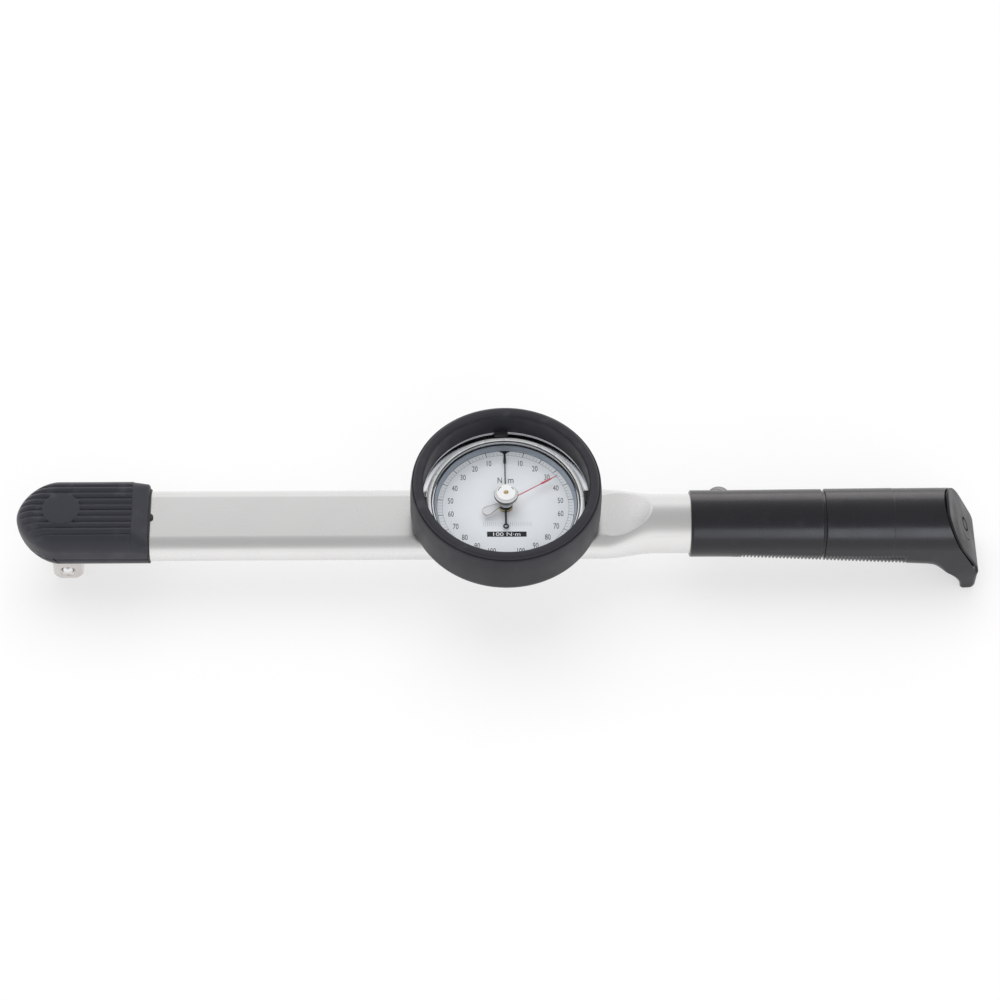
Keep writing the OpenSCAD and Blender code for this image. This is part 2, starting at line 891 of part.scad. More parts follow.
module memory_post() {
    at_dial() color("#f2f2f0") difference() {
        union() {
            disc(needle_hub_r, memory_bottom - 0.35, memory_bottom);
            disc(post_r, memory_bottom, knob_bottom);
            disc(flange_r, memory_top, flange_top);
        }
        disc(knob_screw_r, knob_screw_bottom, knob_top);
    }
}

module friction_spring() {
    rim_r = 3.3;
    rim_z = 20.4;
    leaf = 0.25;
    at_dial() color("#b9bbbe") rotate_extrude()
        polygon([[post_r, flange_top], [post_r + 0.4, flange_top], [rim_r, rim_z],
            [rim_r, rim_z + leaf], [post_r, flange_top + leaf]]);
}

module knob() {
    top_r = 4.1;
    rim_top = 22.9;
    step_top = 23.6;
    at_dial() color("#f2f2f0") difference() {
        rotate_extrude() polygon([[0, knob_bottom], [knob_r, knob_bottom], [knob_r, rim_top],
            [top_r, step_top], [top_r, knob_top], [0, knob_top]]);
        disc(knob_screw_r, knob_bottom - bite, knob_top);
        disc(knob_screw_head_r, knob_screw_seat, knob_top + bite);
    }
}

module knob_screw() {
    slot_w = 0.3;
    slot_depth = 0.4;
    at_dial() color("#b89a55") difference() {
        union() {
            disc(knob_screw_r, knob_screw_bottom, knob_screw_seat);
            disc(knob_screw_head_r, knob_screw_seat, knob_top);
        }
        block([-1.2, -slot_w / 2, knob_top - slot_depth], [1.2, slot_w / 2, knob_top + bite]);
    }
}

// ---- grip ----

module grip_section(r, low, corner) {
    side = r - corner;
    circle(r);
    translate([-r, low + corner]) square([2 * r, -low - corner]);
    translate([-side, low]) square([2 * side, -low]);
    for (s = [-1, 1]) translate([s * side, low + corner]) circle(corner);
}

module grip_body() {
    sliver = 0.02;
    along_x(grip_x, barrel_end_x) circle(grip_r);
    hull() {
        along_x(barrel_end_x - sliver, barrel_end_x) circle(grip_r, $fn = 48);
        along_x(body_end_x, body_end_x + sliver) grip_section(grip_end_r, -16, 8.5, $fn = 48);
    }
}

// The heel turns down behind the hand and ends level with the end of the square drive
module grip_heel() {
    hollow_r = 15.8;
    hollow_x = 379;
    hollow_drop = 0.8;
    first = acos((body_end_x - hollow_x) / hollow_r);
    last = asin(hollow_drop / hollow_r);
    outline = concat(
        arc([hollow_x, heel_low - hollow_drop], hollow_r, first, last, 12),
        [[399.3, heel_low], [heel_x, -28.6]],
        [[401.1, -15.5], [385.2, grip_end_r], [body_end_x, grip_end_r]]
    );
    intersection() {
        rotate([90, 0, 0]) linear_extrude(2 * grip_end_r, center = true) polygon(outline);
        along_x(body_end_x - 1, heel_x + 1) grip_section(grip_end_r, heel_low - 5, 3);
    }
}

module grip() {
    groove = 1.1;
    groove_depth = 0.5;
    at_axis() color("#2b2b30") difference() {
        union() {
            grip_body();
            grip_heel();
        }
        along_x(grip_x - bite, tube_end_x + 0.5) circle(grip_bore_r);
        along_x(force_x - groove / 2, force_x + groove / 2) difference() {
            circle(3 * grip_r);
            circle(grip_r - groove_depth);
        }
        translate([grip_screw_x, 0, 0]) facing_y() {
            disc(grip_screw_r + 0.1, 0, grip_r + bite);
            disc(grip_screw_head_r + run_gap, grip_screw_seat, grip_r + bite);
        }
    }
}

module grip_screw() {
    dome_base = 15;
    dome_rise = 3.6;
    dome_r = (pow(grip_screw_head_r, 2) + pow(dome_rise, 2)) / (2 * dome_rise);
    at_axis() color("#3a3a3e") translate([grip_screw_x, 0, 0]) facing_y() {
        disc(grip_screw_r, grip_screw_bottom, grip_screw_seat);
        disc(grip_screw_head_r, grip_screw_seat, dome_base);
        intersection() {
            translate([0, 0, dome_base + dome_rise - dome_r]) sphere(dome_r);
            disc(grip_screw_head_r, dome_base, dome_base + dome_rise + bite);
        }
    }
}

module grip_nut() {
    at_axis() color("#85878c") translate([grip_screw_x, 0, 0]) facing_y()
        ring(5, grip_screw_r, grip_screw_bottom, 10.2);
}

module end_plug() {
    at_axis() color("#303136") along_x(tube_end_x - 12, tube_end_x) circle(bore_r);
}

head_cover();
drive_seal();
head_housing();
head_cap();
cap_pins();
cap_screws();
torsion_bar();
spindle_bush();
thrust_washer();
tang_rivets();
tube();
drive_spindle();
detent_ball();
detent_spring();
lever();
lever_screw();
sector_rack();
rack_rivets();
case_gasket();
dial_case();
case_screws();
nut_plate();
movement_bridge();
bridge_pillars();
bridge_screws();
upper_bush();
lower_bush();
hairspring_stud();
hairspring();
pinion();
hairspring_collet();
main_pointer();
pointer_hub();
bezel_snap_ring();
bezel();
dial_plate();
lens_gasket();
lens();
guard();
guard_band();
memory_pointer();
memory_tail();
memory_post();
friction_spring();
knob();
knob_screw();
grip();
grip_screw();
grip_nut();
end_plug();
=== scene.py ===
# Looks for the dial torque wrench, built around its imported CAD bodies.
# Sizes are in millimetres and heights are measured from the handle's axis, unless a name says otherwise.
# +X runs from the drive to the grip, +Y to the zero of the scale, and +Z up out of the dial.
import json
from math import acos, asin, atan2, cos, degrees, inf, pi, radians, sin, sqrt, tan

import bmesh
import bpy
import numpy as np
from mathutils import Matrix, Vector


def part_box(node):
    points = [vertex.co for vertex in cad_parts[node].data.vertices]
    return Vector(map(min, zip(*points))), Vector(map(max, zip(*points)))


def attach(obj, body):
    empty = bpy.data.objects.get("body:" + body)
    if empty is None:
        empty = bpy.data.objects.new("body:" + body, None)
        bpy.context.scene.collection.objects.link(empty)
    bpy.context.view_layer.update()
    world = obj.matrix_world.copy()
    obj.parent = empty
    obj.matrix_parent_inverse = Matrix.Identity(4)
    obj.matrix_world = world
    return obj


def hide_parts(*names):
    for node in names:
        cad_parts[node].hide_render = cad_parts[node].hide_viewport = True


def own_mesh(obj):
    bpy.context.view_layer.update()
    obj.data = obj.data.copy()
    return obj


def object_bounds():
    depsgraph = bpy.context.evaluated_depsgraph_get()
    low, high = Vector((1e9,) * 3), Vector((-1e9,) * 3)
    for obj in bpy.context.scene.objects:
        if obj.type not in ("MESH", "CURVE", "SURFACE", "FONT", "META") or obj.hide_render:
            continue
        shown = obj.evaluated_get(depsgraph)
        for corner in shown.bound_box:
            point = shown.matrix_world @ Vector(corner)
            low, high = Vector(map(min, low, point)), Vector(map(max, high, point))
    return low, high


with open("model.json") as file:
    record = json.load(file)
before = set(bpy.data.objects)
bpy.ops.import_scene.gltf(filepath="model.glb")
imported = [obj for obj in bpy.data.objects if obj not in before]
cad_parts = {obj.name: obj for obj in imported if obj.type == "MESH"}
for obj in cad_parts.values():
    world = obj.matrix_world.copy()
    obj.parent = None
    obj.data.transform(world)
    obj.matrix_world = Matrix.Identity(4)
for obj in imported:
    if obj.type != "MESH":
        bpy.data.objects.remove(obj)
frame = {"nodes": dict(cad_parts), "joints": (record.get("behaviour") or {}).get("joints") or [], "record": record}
cad_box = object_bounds()

MM = 0.001
JOINTS = {joint["name"]: joint for joint in frame["joints"]}
AXIS_Z = JOINTS["drive_twist"]["pos_m"][2] / MM
DIAL_X = JOINTS["pointer_turn"]["pos_m"][0] / MM


def corners(node, centre_x=0.0):
    """Lowest and highest corners of a CAD node, from the handle's axis and a place along it."""
    shift = np.array((centre_x, 0.0, AXIS_Z))
    return [np.array(corner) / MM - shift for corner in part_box(node)]


# ---- mesh helpers

def new_object(name, data):
    obj = bpy.data.objects.new(name, data)
    bpy.context.scene.collection.objects.link(obj)
    return obj


def evaluated_mesh(obj):
    """The object's mesh with its modifiers applied."""
    bpy.context.view_layer.update()
    graph = bpy.context.evaluated_depsgraph_get()
    return bpy.data.meshes.new_from_object(obj.evaluated_get(graph))


def clean_mesh(name, verts, faces):
    """Mesh data in metres, with doubled points joined and its faces turned outwards."""
    data = bpy.data.meshes.new(name)
    points = (np.asarray(verts, float) + (0.0, 0.0, AXIS_Z)) * MM
    data.from_pydata(points.tolist(), [], faces)
    mesh = bmesh.new()
    mesh.from_mesh(data)
    bmesh.ops.remove_doubles(mesh, verts=mesh.verts, dist=0.001 * MM)
    bmesh.ops.dissolve_degenerate(mesh, edges=mesh.edges, dist=0.0005 * MM)
    bmesh.ops.recalc_face_normals(mesh, faces=mesh.faces)
    if mesh.calc_volume(signed=True) < 0:
        bmesh.ops.reverse_faces(mesh, faces=mesh.faces)
    mesh.to_mesh(data)
    mesh.free()
    return data


def piece(name, verts, faces, body, material, replaces=(), slot=None, sharp=32.0):
    """A smooth-shaded mesh piece that rides on a body and may stand for CAD nodes."""
    data = clean_mesh(name, verts, faces)
    shade(data, sharp)
    data.materials.append(material)
    obj = new_object(name, data)
    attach(obj, body)
    if replaces:
        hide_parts(*replaces)
    return obj


def shade(data, sharp):
    """Smooth shading, with edges sharper than an angle in degrees kept sharp."""
    data.polygons.foreach_set("use_smooth", [True] * len(data.polygons))
    data.set_sharp_from_angle(angle=radians(sharp))


def join(parts):
    """One list of points and one of faces from several (points, faces) pairs."""
    verts, faces = [], []
    for part_verts, part_faces in parts:
        start = len(verts)
        verts.extend([tuple(v) for v in part_verts])
        faces.extend([tuple(i + start for i in face) for face in part_faces])
    return verts, faces


def arc(x, y, r, start, end, steps):
    """Points on an arc about (x, y), angles in degrees."""
    angles = np.radians(np.linspace(start, end, steps + 1))
    return [(x + r * cos(a), y + r * sin(a)) for a in angles]


def rounded(corner_list, steps=5):
    """A closed outline through corners (u, v, radius), with each corner turned into an arc."""
    points = []
    count = len(corner_list)
    for i, (u, v, radius) in enumerate(corner_list):
        here = np.array((u, v), float)
        if radius <= 0:
            points.append((u, v))
            continue
        before = np.array(corner_list[i - 1][:2], float) - here
        after = np.array(corner_list[(i + 1) % count][:2], float) - here
        before /= np.linalg.norm(before)
        after /= np.linalg.norm(after)
        half = acos(np.clip(before @ after, -1.0, 1.0)) / 2
        middle = (before + after) / np.linalg.norm(before + after)
        centre = here + middle * radius / sin(half)
        first = here + before * radius / tan(half) - centre
        last = here + after * radius / tan(half) - centre
        start = atan2(first[1], first[0])
        sweep = atan2(last[1], last[0]) - start
        sweep = (sweep + pi) % (2 * pi) - pi
        for k in range(steps + 1):
            angle = start + sweep * k / steps
            points.append(tuple(centre + radius * np.array((cos(angle), sin(angle)))))
    return points


def rings_to_faces(count, size, closed_path=False, caps=True):
    """Quads between neighbouring rings of the same size, with an end face at each end of an open path."""
    faces = []
    for j in range(count if closed_path else count - 1):
        here, there = j * size, (j + 1) % count * size
        for i in range(size):
            k = (i + 1) % size
            faces.append((here + i, here + k, there + k, there + i))
    if caps and not closed_path:
        faces.append(tuple(range(size))[::-1])
        faces.append(tuple(range((count - 1) * size, count * size)))
    return faces


def rectangle(u0, v0, u1, v1):
    """The corners of a rectangle from its two opposite corners."""
    return [(u0, v0), (u1, v0), (u1, v1), (u0, v1)]


def mirrored(half):
    """A closed outline from the points of its right half."""
    return half + [(-u, v) for u, v in half[::-1]]


def lathe(outline, x=0.0, y=0.0, steps=192):
    """A closed outline of (radius, height) points turned about an upright axis at (x, y)."""
    verts = []
    for angle in np.linspace(0, 2 * pi, steps, endpoint=False):
        c, s = cos(angle), sin(angle)
        verts.extend([(x + r * c, y + r * s, z) for r, z in outline])
    return verts, rings_to_faces(steps, len(outline), closed_path=True)


def y_lathe(outline, x=0.0, z=0.0, steps=64):
    """A closed outline of (radius, distance) points turned about an axis along +Y."""
    verts, faces = lathe(outline, steps=steps)
    return [(v[0] + x, v[2], v[1] + z) for v in verts], faces


def lathe_part(outline, x, start, end, steps):
    """A closed outline of (radius, height) points swept over part of a turn, with end faces."""
    verts = []
    for angle in np.radians(np.linspace(start, end, steps + 1)):
        c, s = cos(angle), sin(angle)
        verts.extend([(x + r * c, r * s, z) for r, z in outline])
    return verts, rings_to_faces(steps + 1, len(outline))


def prism(outline, low, high):
    """An upright prism on an outline of (x, y) points."""
    return [(x, y, z) for z in (low, high) for x, y in outline], rings_to_faces(2, len(outline))


def stadium(half_w, half_h, count):
    """A flat bar's section with fully round sides, as (y, z) points counter-clockwise."""
    side, half_count = half_w - half_h, 2 * (count // 4)
    return arc(side, 0, half_h, -90, 90, half_count) + arc(-side, 0, half_h, 90, 270, half_count)


def along_x(sections, places):
    """A closed solid from sections of (y, z) points at places along X."""
    verts = [(x, y, z) for section, x in zip(sections, places) for y, z in section]
    return verts, rings_to_faces(len(sections), len(sections[0]))


def turned(verts, angle, x=0.0):
    """Points turned about the dial's axis by an angle in degrees, then moved along X."""
    c, s = cos(radians(angle)), sin(radians(angle))
    return [(x + c * p[0] - s * p[1], s * p[0] + c * p[1], p[2]) for p in verts]


def smooth_step(x, low, high):
    """Rises smoothly from 0 at low to 1 at high."""
    t = np.clip((np.asarray(x, float) - low) / (high - low), 0.0, 1.0)
    return t * t * (3 - 2 * t)


def cut(obj, cutters, operation="DIFFERENCE", sharp=32.0):
    """Applies boolean cuts to a piece. Each cutter is a (points, faces) pair."""
    for i, (verts, faces) in enumerate(cutters):
        tool = new_object("cutter", clean_mesh("cutter", verts, faces))
        modifier = obj.modifiers.new(f"cut{i}", "BOOLEAN")
        modifier.operation = operation
        modifier.solver = "EXACT"
        modifier.object = tool
        result = evaluated_mesh(obj)
        obj.modifiers.clear()
        old = obj.data
        obj.data = result
        bpy.data.meshes.remove(old)
        bpy.data.objects.remove(tool)
    shade(obj.data, sharp)


# ---- material helpers

def add(tree, kind, inputs=None, **settings):
    """Adds a shader node. An input is a value, or a socket to link from."""
    new = tree.nodes.new("ShaderNode" + kind)
    for key, value in settings.items():
        setattr(new, key, value)
    for key, value in (inputs or {}).items():
        if isinstance(value, bpy.types.NodeSocket):
            tree.links.new(value, new.inputs[key])
        else:
            new.inputs[key].default_value = value
    return new


def maths(tree, operation, *values):
    """The result of a maths node."""
    return add(tree, "Math", dict(enumerate(values)), operation=operation).outputs["Value"]


def ramp(tree, factor, stops):
    """A colour ramp through (place, grey value or colour) stops."""
    new = add(tree, "ValToRGB", {"Fac": factor})
    elements = new.color_ramp.elements
    while len(elements) < len(stops):
        elements.new(0.5)
    for element, (place, value) in zip(elements, stops):
        element.position = place
        colour = (value, value, value) if isinstance(value, (int, float)) else value
        element.color = (*colour, 1.0)
    return new.outputs["Color"]


def start_material(name):
    new = bpy.data.materials.new(name)
    new.use_nodes = True
    new.node_tree.nodes.clear()
    tree = new.node_tree
    place = add(tree, "TexCoord").outputs["Object"]
    in_mm = add(tree, "VectorMath", {0: place, "Scale": 1 / MM}, operation="SCALE").outputs["Vector"]
    return new, tree, in_mm


def lay(tree, in_mm, direction):
    """Stretches a place in millimetres, so that noise on it becomes brushing."""
    if direction == "ring":
        moved = add(tree, "VectorMath", {0: in_mm, 1: (DIAL_X, 0, 0)}, operation="SUBTRACT")
        flat = add(tree, "VectorMath", {0: moved.outputs["Vector"], 1: (1, 1, 0)}, operation="MULTIPLY")
        away = add(tree, "VectorMath", {0: flat.outputs["Vector"]}, operation="LENGTH")
        high = add(tree, "SeparateXYZ", {"Vector": moved.outputs["Vector"]})
        return add(tree, "CombineXYZ", {"X": away.outputs["Value"], "Y": high.outputs["Z"]}).outputs["Vector"]
    squeeze = {"x": (0.02, 1, 1), "z": (1, 1, 0.02)}[direction]
    return add(tree, "VectorMath", {0: in_mm, 1: squeeze}, operation="MULTIPLY").outputs["Vector"]


def noise(tree, place, size_mm, detail=2.0):
    """Noise from 0 to 1 whose features are about size_mm across."""
    return add(tree, "TexNoise", {"Vector": place, "Scale": 1 / size_mm, "Detail": detail}).outputs["Fac"]


def finish(name, colour, rough, metal=0.0, level=0.5, tint=0.08, patch=18.0, grain=0.5, depth=0.01,
           brush=None, brush_size=0.12, brush_depth=0.0, rough_vary=0.06, wear=0.12):
    """A material with patchy colour, fine grain, optional brushing and faint scuffs. Sizes in millimetres."""
    new, tree, in_mm = start_material(name)
    dark = tuple(c * (1 - tint) for c in colour)
    light = tuple(min(1.0, c * (1 + tint)) for c in colour)
    cloud = noise(tree, in_mm, patch, 3.0)
    speck = noise(tree, in_mm, grain, 3.0)
    blend = maths(tree, "MULTIPLY", maths(tree, "ADD", cloud, speck), 0.5)
    base = ramp(tree, blend, [(0.35, dark), (0.65, light)])
    if brush:
        streak = noise(tree, lay(tree, in_mm, brush), brush_size, 2.0)
        stripes = ramp(tree, streak, [(0.3, 1 - 1.4 * tint), (0.7, 1.0)])
        base = mix_colour(tree, 1.0, base, stripes, "MULTIPLY")
    rubbed = ramp(tree, noise(tree, in_mm, patch * 0.4, 5.0), [(0.58, 0.0), (0.72, 1.0)])
    scuff = maths(tree, "MULTIPLY", rubbed, wear)
    worn = tuple(c + (1 - c) * 0.12 for c in colour)
    base = mix_colour(tree, scuff, base, (*worn, 1.0), "MIX")
    smear = noise(tree, in_mm, patch * 0.6, 4.0)
    smooth = add(tree, "MapRange", {"Value": smear, "From Min": 0.3, "From Max": 0.7,
                                    "To Min": rough - rough_vary, "To Max": rough + rough_vary})
    roughness = maths(tree, "MULTIPLY_ADD", scuff, 0.4, smooth.outputs["Result"])
    bump = add(tree, "Bump", {"Height": speck, "Strength": 1.0, "Distance": depth * MM})
    if brush and brush_depth > 0:
        bump = add(tree, "Bump", {"Height": streak, "Strength": 1.0, "Distance": brush_depth * MM,
                                  "Normal": bump.outputs["Normal"]})
    shader = add(tree, "BsdfPrincipled", {
        "Base Color": base, "Metallic": metal, "Roughness": roughness,
        "Specular IOR Level": level, "Normal": bump.outputs["Normal"]})
    add(tree, "OutputMaterial", {"Surface": shader.outputs["BSDF"]})
    return new


def mix_colour(tree, factor, a, b, blend_type):
    """A colour mix node's result."""
    new = tree.nodes.new("ShaderNodeMix")
    new.data_type = "RGBA"
    new.blend_type = blend_type
    for index, value in ((0, factor), (6, a), (7, b)):
        if isinstance(value, bpy.types.NodeSocket):
            tree.links.new(value, new.inputs[index])
        else:
            new.inputs[index].default_value = value
    return new.outputs[2]


def clear_material(name):
    """Clear acrylic: it lets light and shadow rays through, and shines more at a grazing angle."""
    new, tree, in_mm = start_material(name)
    smear = noise(tree, in_mm, 14.0, 3.0)
    rough = add(tree, "MapRange", {"Value": smear, "To Min": 0.02, "To Max": 0.07}).outputs["Result"]
    ripple = add(tree, "Bump", {"Height": noise(tree, in_mm, 9.0, 1.0), "Distance": 0.01 * MM})
    tint = ramp(tree, smear, [(0.3, (0.965, 0.975, 0.985)), (0.7, (0.985, 0.99, 0.995))])
    through = add(tree, "BsdfTransparent", {"Color": tint})
    shine = add(tree, "BsdfGlossy", {"Roughness": rough, "Normal": ripple.outputs["Normal"]})
    facing = add(tree, "Fresnel", {"IOR": 1.25, "Normal": ripple.outputs["Normal"]})
    both = add(tree, "MixShader", {0: facing.outputs["Fac"], 1: through.outputs["BSDF"],
                                   2: shine.outputs["BSDF"]})
    add(tree, "OutputMaterial", {"Surface": both.outputs["Shader"]})
    return new


# ---- materials

COVER = finish("cover rubber", (0.017, 0.018, 0.026), 0.40, level=0.45, tint=0.10, grain=0.35, depth=0.008)
SEAL = finish("seal rubber", (0.018, 0.018, 0.02), 0.6, grain=0.4, depth=0.02)
GUARD = finish("guard rubber", (0.016, 0.016, 0.022), 0.44, level=0.40, tint=0.08, grain=0.3, depth=0.008)
GRIP = finish("grip plastic", (0.006, 0.006, 0.0085), 0.27, level=0.44, tint=0.10, grain=0.6, depth=0.002,
              rough_vary=0.04, wear=0.03)
FACET = finish("heel plate plastic", (0.014, 0.012, 0.0145), 0.36, level=0.22, tint=0.08, grain=0.5,
               depth=0.003, wear=0.05)


def metal(name, colour, rough, tint=0.02, patch=5.0, grain=0.2, depth=0.001, **more):
    return finish(name, colour, rough, 1.0, tint=tint, patch=patch, grain=grain, depth=depth, **more)


TUBE = metal("satin chrome", (0.80, 0.795, 0.79), 0.27, patch=30.0, grain=0.3, depth=0.0002, brush="x",
             brush_size=0.16, brush_depth=0.0006, rough_vary=0.03, wear=0.02)
CHROME = metal("bezel chrome", (0.86, 0.87, 0.89), 0.10, patch=18.0, grain=0.4, depth=0.0004, brush="ring",
               brush_size=0.18, brush_depth=0.0008, rough_vary=0.03, wear=0.0)
DRIVE = metal("drive chrome", (0.74, 0.71, 0.69), 0.22, tint=0.04, brush="z", brush_size=0.2,
              brush_depth=0.001, wear=0.1)
BALL = metal("ball steel", (0.86, 0.86, 0.87), 0.12, patch=2.0, grain=0.1, depth=0.0002)
STEEL = metal("machined steel", (0.52, 0.53, 0.55), 0.34, tint=0.06, patch=6.0, brush="x", brush_size=0.15,
              brush_depth=0.002)
SPRING = metal("spring steel", (0.60, 0.61, 0.63), 0.25, tint=0.05, brush="z", brush_size=0.12,
               brush_depth=0.001)
BRASS = metal("machined brass", (0.72, 0.56, 0.27), 0.30, tint=0.07, patch=4.0, grain=0.15, brush="ring",
              brush_size=0.12, brush_depth=0.001)
BRONZE = metal("oiled bronze", (0.50, 0.34, 0.17), 0.42, tint=0.10, patch=4.0, grain=0.25, depth=0.004)
BLACK_STEEL = finish("black oxide", (0.15, 0.145, 0.15), 0.34, metal=0.75, tint=0.12, patch=4.0, grain=0.2,
                     depth=0.002, wear=0.25)
# The bezel rim's pale colour is a painted reflection: it stands for the bright strip that the chrome rim mirrors.
RIM = finish("bezel rim painted reflection", (0.86, 0.87, 0.88), 0.28, metal=0.3, tint=0.02, grain=0.4, depth=0.0005,
             brush="ring", brush_size=0.18, brush_depth=0.0008, rough_vary=0.04, wear=0.0)
# The dial flange's blue-grey is a painted reflection: it stands for what the chrome flange mirrors, in place of
# mirror chrome.
FLANGE_PAINTED_REFLECTION = finish("dial flange painted reflection", (0.47, 0.52, 0.58), 0.34, metal=0.35, tint=0.03, patch=10.0, grain=0.3,
                depth=0.0005, brush="ring", brush_size=0.12, brush_depth=0.001, wear=0.02)
CASE = finish("case lacquer", (0.03, 0.03, 0.034), 0.42, tint=0.08, grain=0.4, depth=0.006, wear=0.2)
DIAL = finish("dial paint", (0.80, 0.805, 0.815), 0.55, level=0.3, tint=0.012, patch=12.0, grain=0.25,
              depth=0.002, rough_vary=0.05, wear=0.0)


def ink(name, colour, tint):
    return finish(name, colour, 0.5, level=0.3, tint=tint, patch=3.0, grain=0.15, depth=0.001, wear=0.0)


INK = ink("dial ink", (0.012, 0.012, 0.015), 0.2)
GREY_INK = ink("grey ink", (0.28, 0.29, 0.32), 0.1)
FAINT_INK = ink("faint ink", (0.62, 0.62, 0.64), 0.05)
WHITE_INK = ink("white ink", (0.8, 0.8, 0.8), 0.03)


def paint(name, colour, rough, tint, patch=6.0, depth=0.001, wear=0.0):
    return finish(name, colour, rough, tint=tint, patch=patch, grain=0.2, depth=depth, wear=wear)


POINTER = paint("pointer paint", (0.01, 0.01, 0.012), 0.45, 0.15, wear=0.1)
RED = paint("memory red", (0.55, 0.03, 0.07), 0.42, 0.08)
WHITE = paint("knob white", (0.66, 0.66, 0.665), 0.35, 0.02, patch=5.0, depth=0.002)
TAIL_RIM = paint("tail outline", (0.33, 0.24, 0.23), 0.5, 0.1, patch=3.0)
CLEAR = clear_material("clear acrylic")

CAD_FINISH = {
    "cover_rubber": COVER, "seal_rubber": SEAL, "housing_steel": STEEL, "fastener_steel": STEEL,
    "fastener_black": BLACK_STEEL, "spring_steel": SPRING, "bronze": BRONZE, "brass": BRASS,
    "satin_chrome": TUBE, "case_black": CASE, "grip_black": GRIP, "drive_chrome": DRIVE,
    "pointer_black": POINTER, "bezel_chrome": CHROME, "dial_white": DIAL, "lens_clear": CLEAR,
    "guard_rubber": GUARD, "memory_red": RED, "knob_white": WHITE,
}
for subpart in frame["record"]["subparts"]:
    node = frame["nodes"][subpart["node"]]
    node.data.materials.clear()
    node.data.materials.append(CAD_FINISH[subpart["material_slot"]])


# ---- head

RIB_PITCH = 3.11
RIB_DEPTH = 0.9
RIB_POWER = 2.2
RIB_HALF_FIELD = 4 * RIB_PITCH
RIBS_END = 30.5
DISC_R = 8.3
SPINDLE_HOLE_R = 10.45
TUBE_GAP = stadium(17.1, 7.1, 96)


def cover_height(x, y):
    """How far the cover's top stands above its plain surface: grooved ribs, and the disc over the drive."""
    beside = np.abs(y - RIB_PITCH * np.round(y / RIB_PITCH)) / (RIB_PITCH / 2)
    outside = np.clip((np.abs(y) - RIB_HALF_FIELD) / (RIB_PITCH / 2), 0, 1)
    across = np.where(np.abs(y) > RIB_HALF_FIELD, outside, beside)
    in_field = np.abs(y) < RIB_HALF_FIELD + RIB_PITCH / 2
    rib = np.where(in_field, -RIB_DEPTH * (1 - across) ** RIB_POWER, 0.0)
    rib = rib * (1 - smooth_step(x, RIBS_END - 0.15, RIBS_END + 0.15))
    away = np.hypot(x, y)
    disc = 0.35 + 0.25 * np.sqrt(np.clip(1 - (away / DISC_R) ** 2, 0, 1))
    on_disc = 1 - smooth_step(away, DISC_R - 0.35, DISC_R + 0.25)
    return rib * (1 - on_disc) + disc * on_disc


def make_cover():
    """The ribbed rubber cover: half sections along one side, round the nose and back along the other."""
    low, high = corners("head_cover")
    half, top, bottom = high[1], high[2], low[2] + 1.5
    nose_x, rear_x = low[0] + half, high[0]
    edge_r, rear_edge_r, foot_r, rear_top = 8.0, 4.0, 8.0, 8.6
    plan_power, crest_drop = 1.75, 0.35

    def half_profile(top_z, inset, edge, foot_h):
        """Half of the section from the top's middle to the bottom's middle, as (distance, height)."""
        d = half - inset
        t, b = top_z - inset, bottom + inset
        flat = d - edge
        points = [(flat * k / 40, t) for k in range(41)]
        points += arc(flat, t - edge, edge, 90, 0, 30)[1:]
        gap = (t - edge) - (b + foot_h)
        points += [(d, t - edge - gap * k / 12) for k in range(1, 13)]
        points += [(d - foot_r * (1 - c), b + foot_h * (1 - s)) for c, s in arc(0, 0, 1, 0, 90, 20)[1:]]
        points += [((d - foot_r) * (1 - k / 6), b) for k in range(1, 7)]
        return np.array(points)

    side = [(rear_x - back, inset) for back, inset in ((0, 0.75), (0.12, 0.42), (0.45, 0.14), (0.95, 0.0))]
    side += [(x, 0.0) for x in np.arange(rear_x - 1.4, RIBS_END + 0.4, -0.5)]
    side += [(x, 0.0) for x in np.linspace(RIBS_END + 0.3, RIBS_END - 0.3, 7)]
    side += [(x, 0.0) for x in np.arange(RIBS_END - 1.3, 9.5, -1.0)]
    side += [(x, 0.0) for x in np.arange(9.2, nose_x + 0.1, -0.28)]
    path = [(x, -90.0, inset) for x, inset in side]
    path += [(nose_x, -90.0 - a, 0.0) for a in np.linspace(0, 180, 151)]
    path += [(x, -270.0, inset) for x, inset in side[::-1]]

    verts = []
    for x, turn, inset in path:
        a = radians(turn)
        c, s = cos(a), sin(a)
        share = float(np.clip((x - RIBS_END) / (rear_x - RIBS_END), 0, 1))
        top_z = top - crest_drop * (share > 0) - (top - crest_drop - rear_top) * share
        profile = half_profile(top_z, inset, edge_r + (rear_edge_r - edge_r) * share, foot_r + 4.5 * abs(c))
        pull = (abs(c) ** plan_power + abs(s) ** plan_power) ** (-1 / plan_power)
        away = (profile[:, 0] - side_mark(profile)) * pull
        points = np.column_stack((x + away * c, away * s, profile[:, 1]))
        lean = smooth_step(profile[:, 1], top_z - 3.6, top_z - 1.6)
        points[:, 2] += cover_height(points[:, 0], points[:, 1]) * lean
        verts.extend(points.tolist())
    size = len(profile)
    faces = []
    for j in range(len(path) - 1):
        for i in range(size - 1):
            here, there = j * size + i, (j + 1) * size + i
            faces.append((here, here + 1, there + 1, there))
    last = (len(path) - 1) * size
    faces.append(tuple(range(size)) + tuple(range(last + size - 1, last - 1, -1)))
    cover = piece("head_cover_skin", verts, faces, "frame", COVER, ["head_cover"], "cover_rubber")
    cavity = lathe([(0, -7.4), (13.4, -7.4), (15.8, -3.7), (15.8, 8.7), (13.7, 11.2), (0, 11.2)], steps=96)
    seal_hole = lathe(rectangle(0, -12, SPINDLE_HOLE_R, -6), steps=96)
    tube_bore = along_x([TUBE_GAP] * 2, [0, rear_x + 2])
    cut(cover, [cavity, seal_hole, tube_bore, cover_slit(half)])


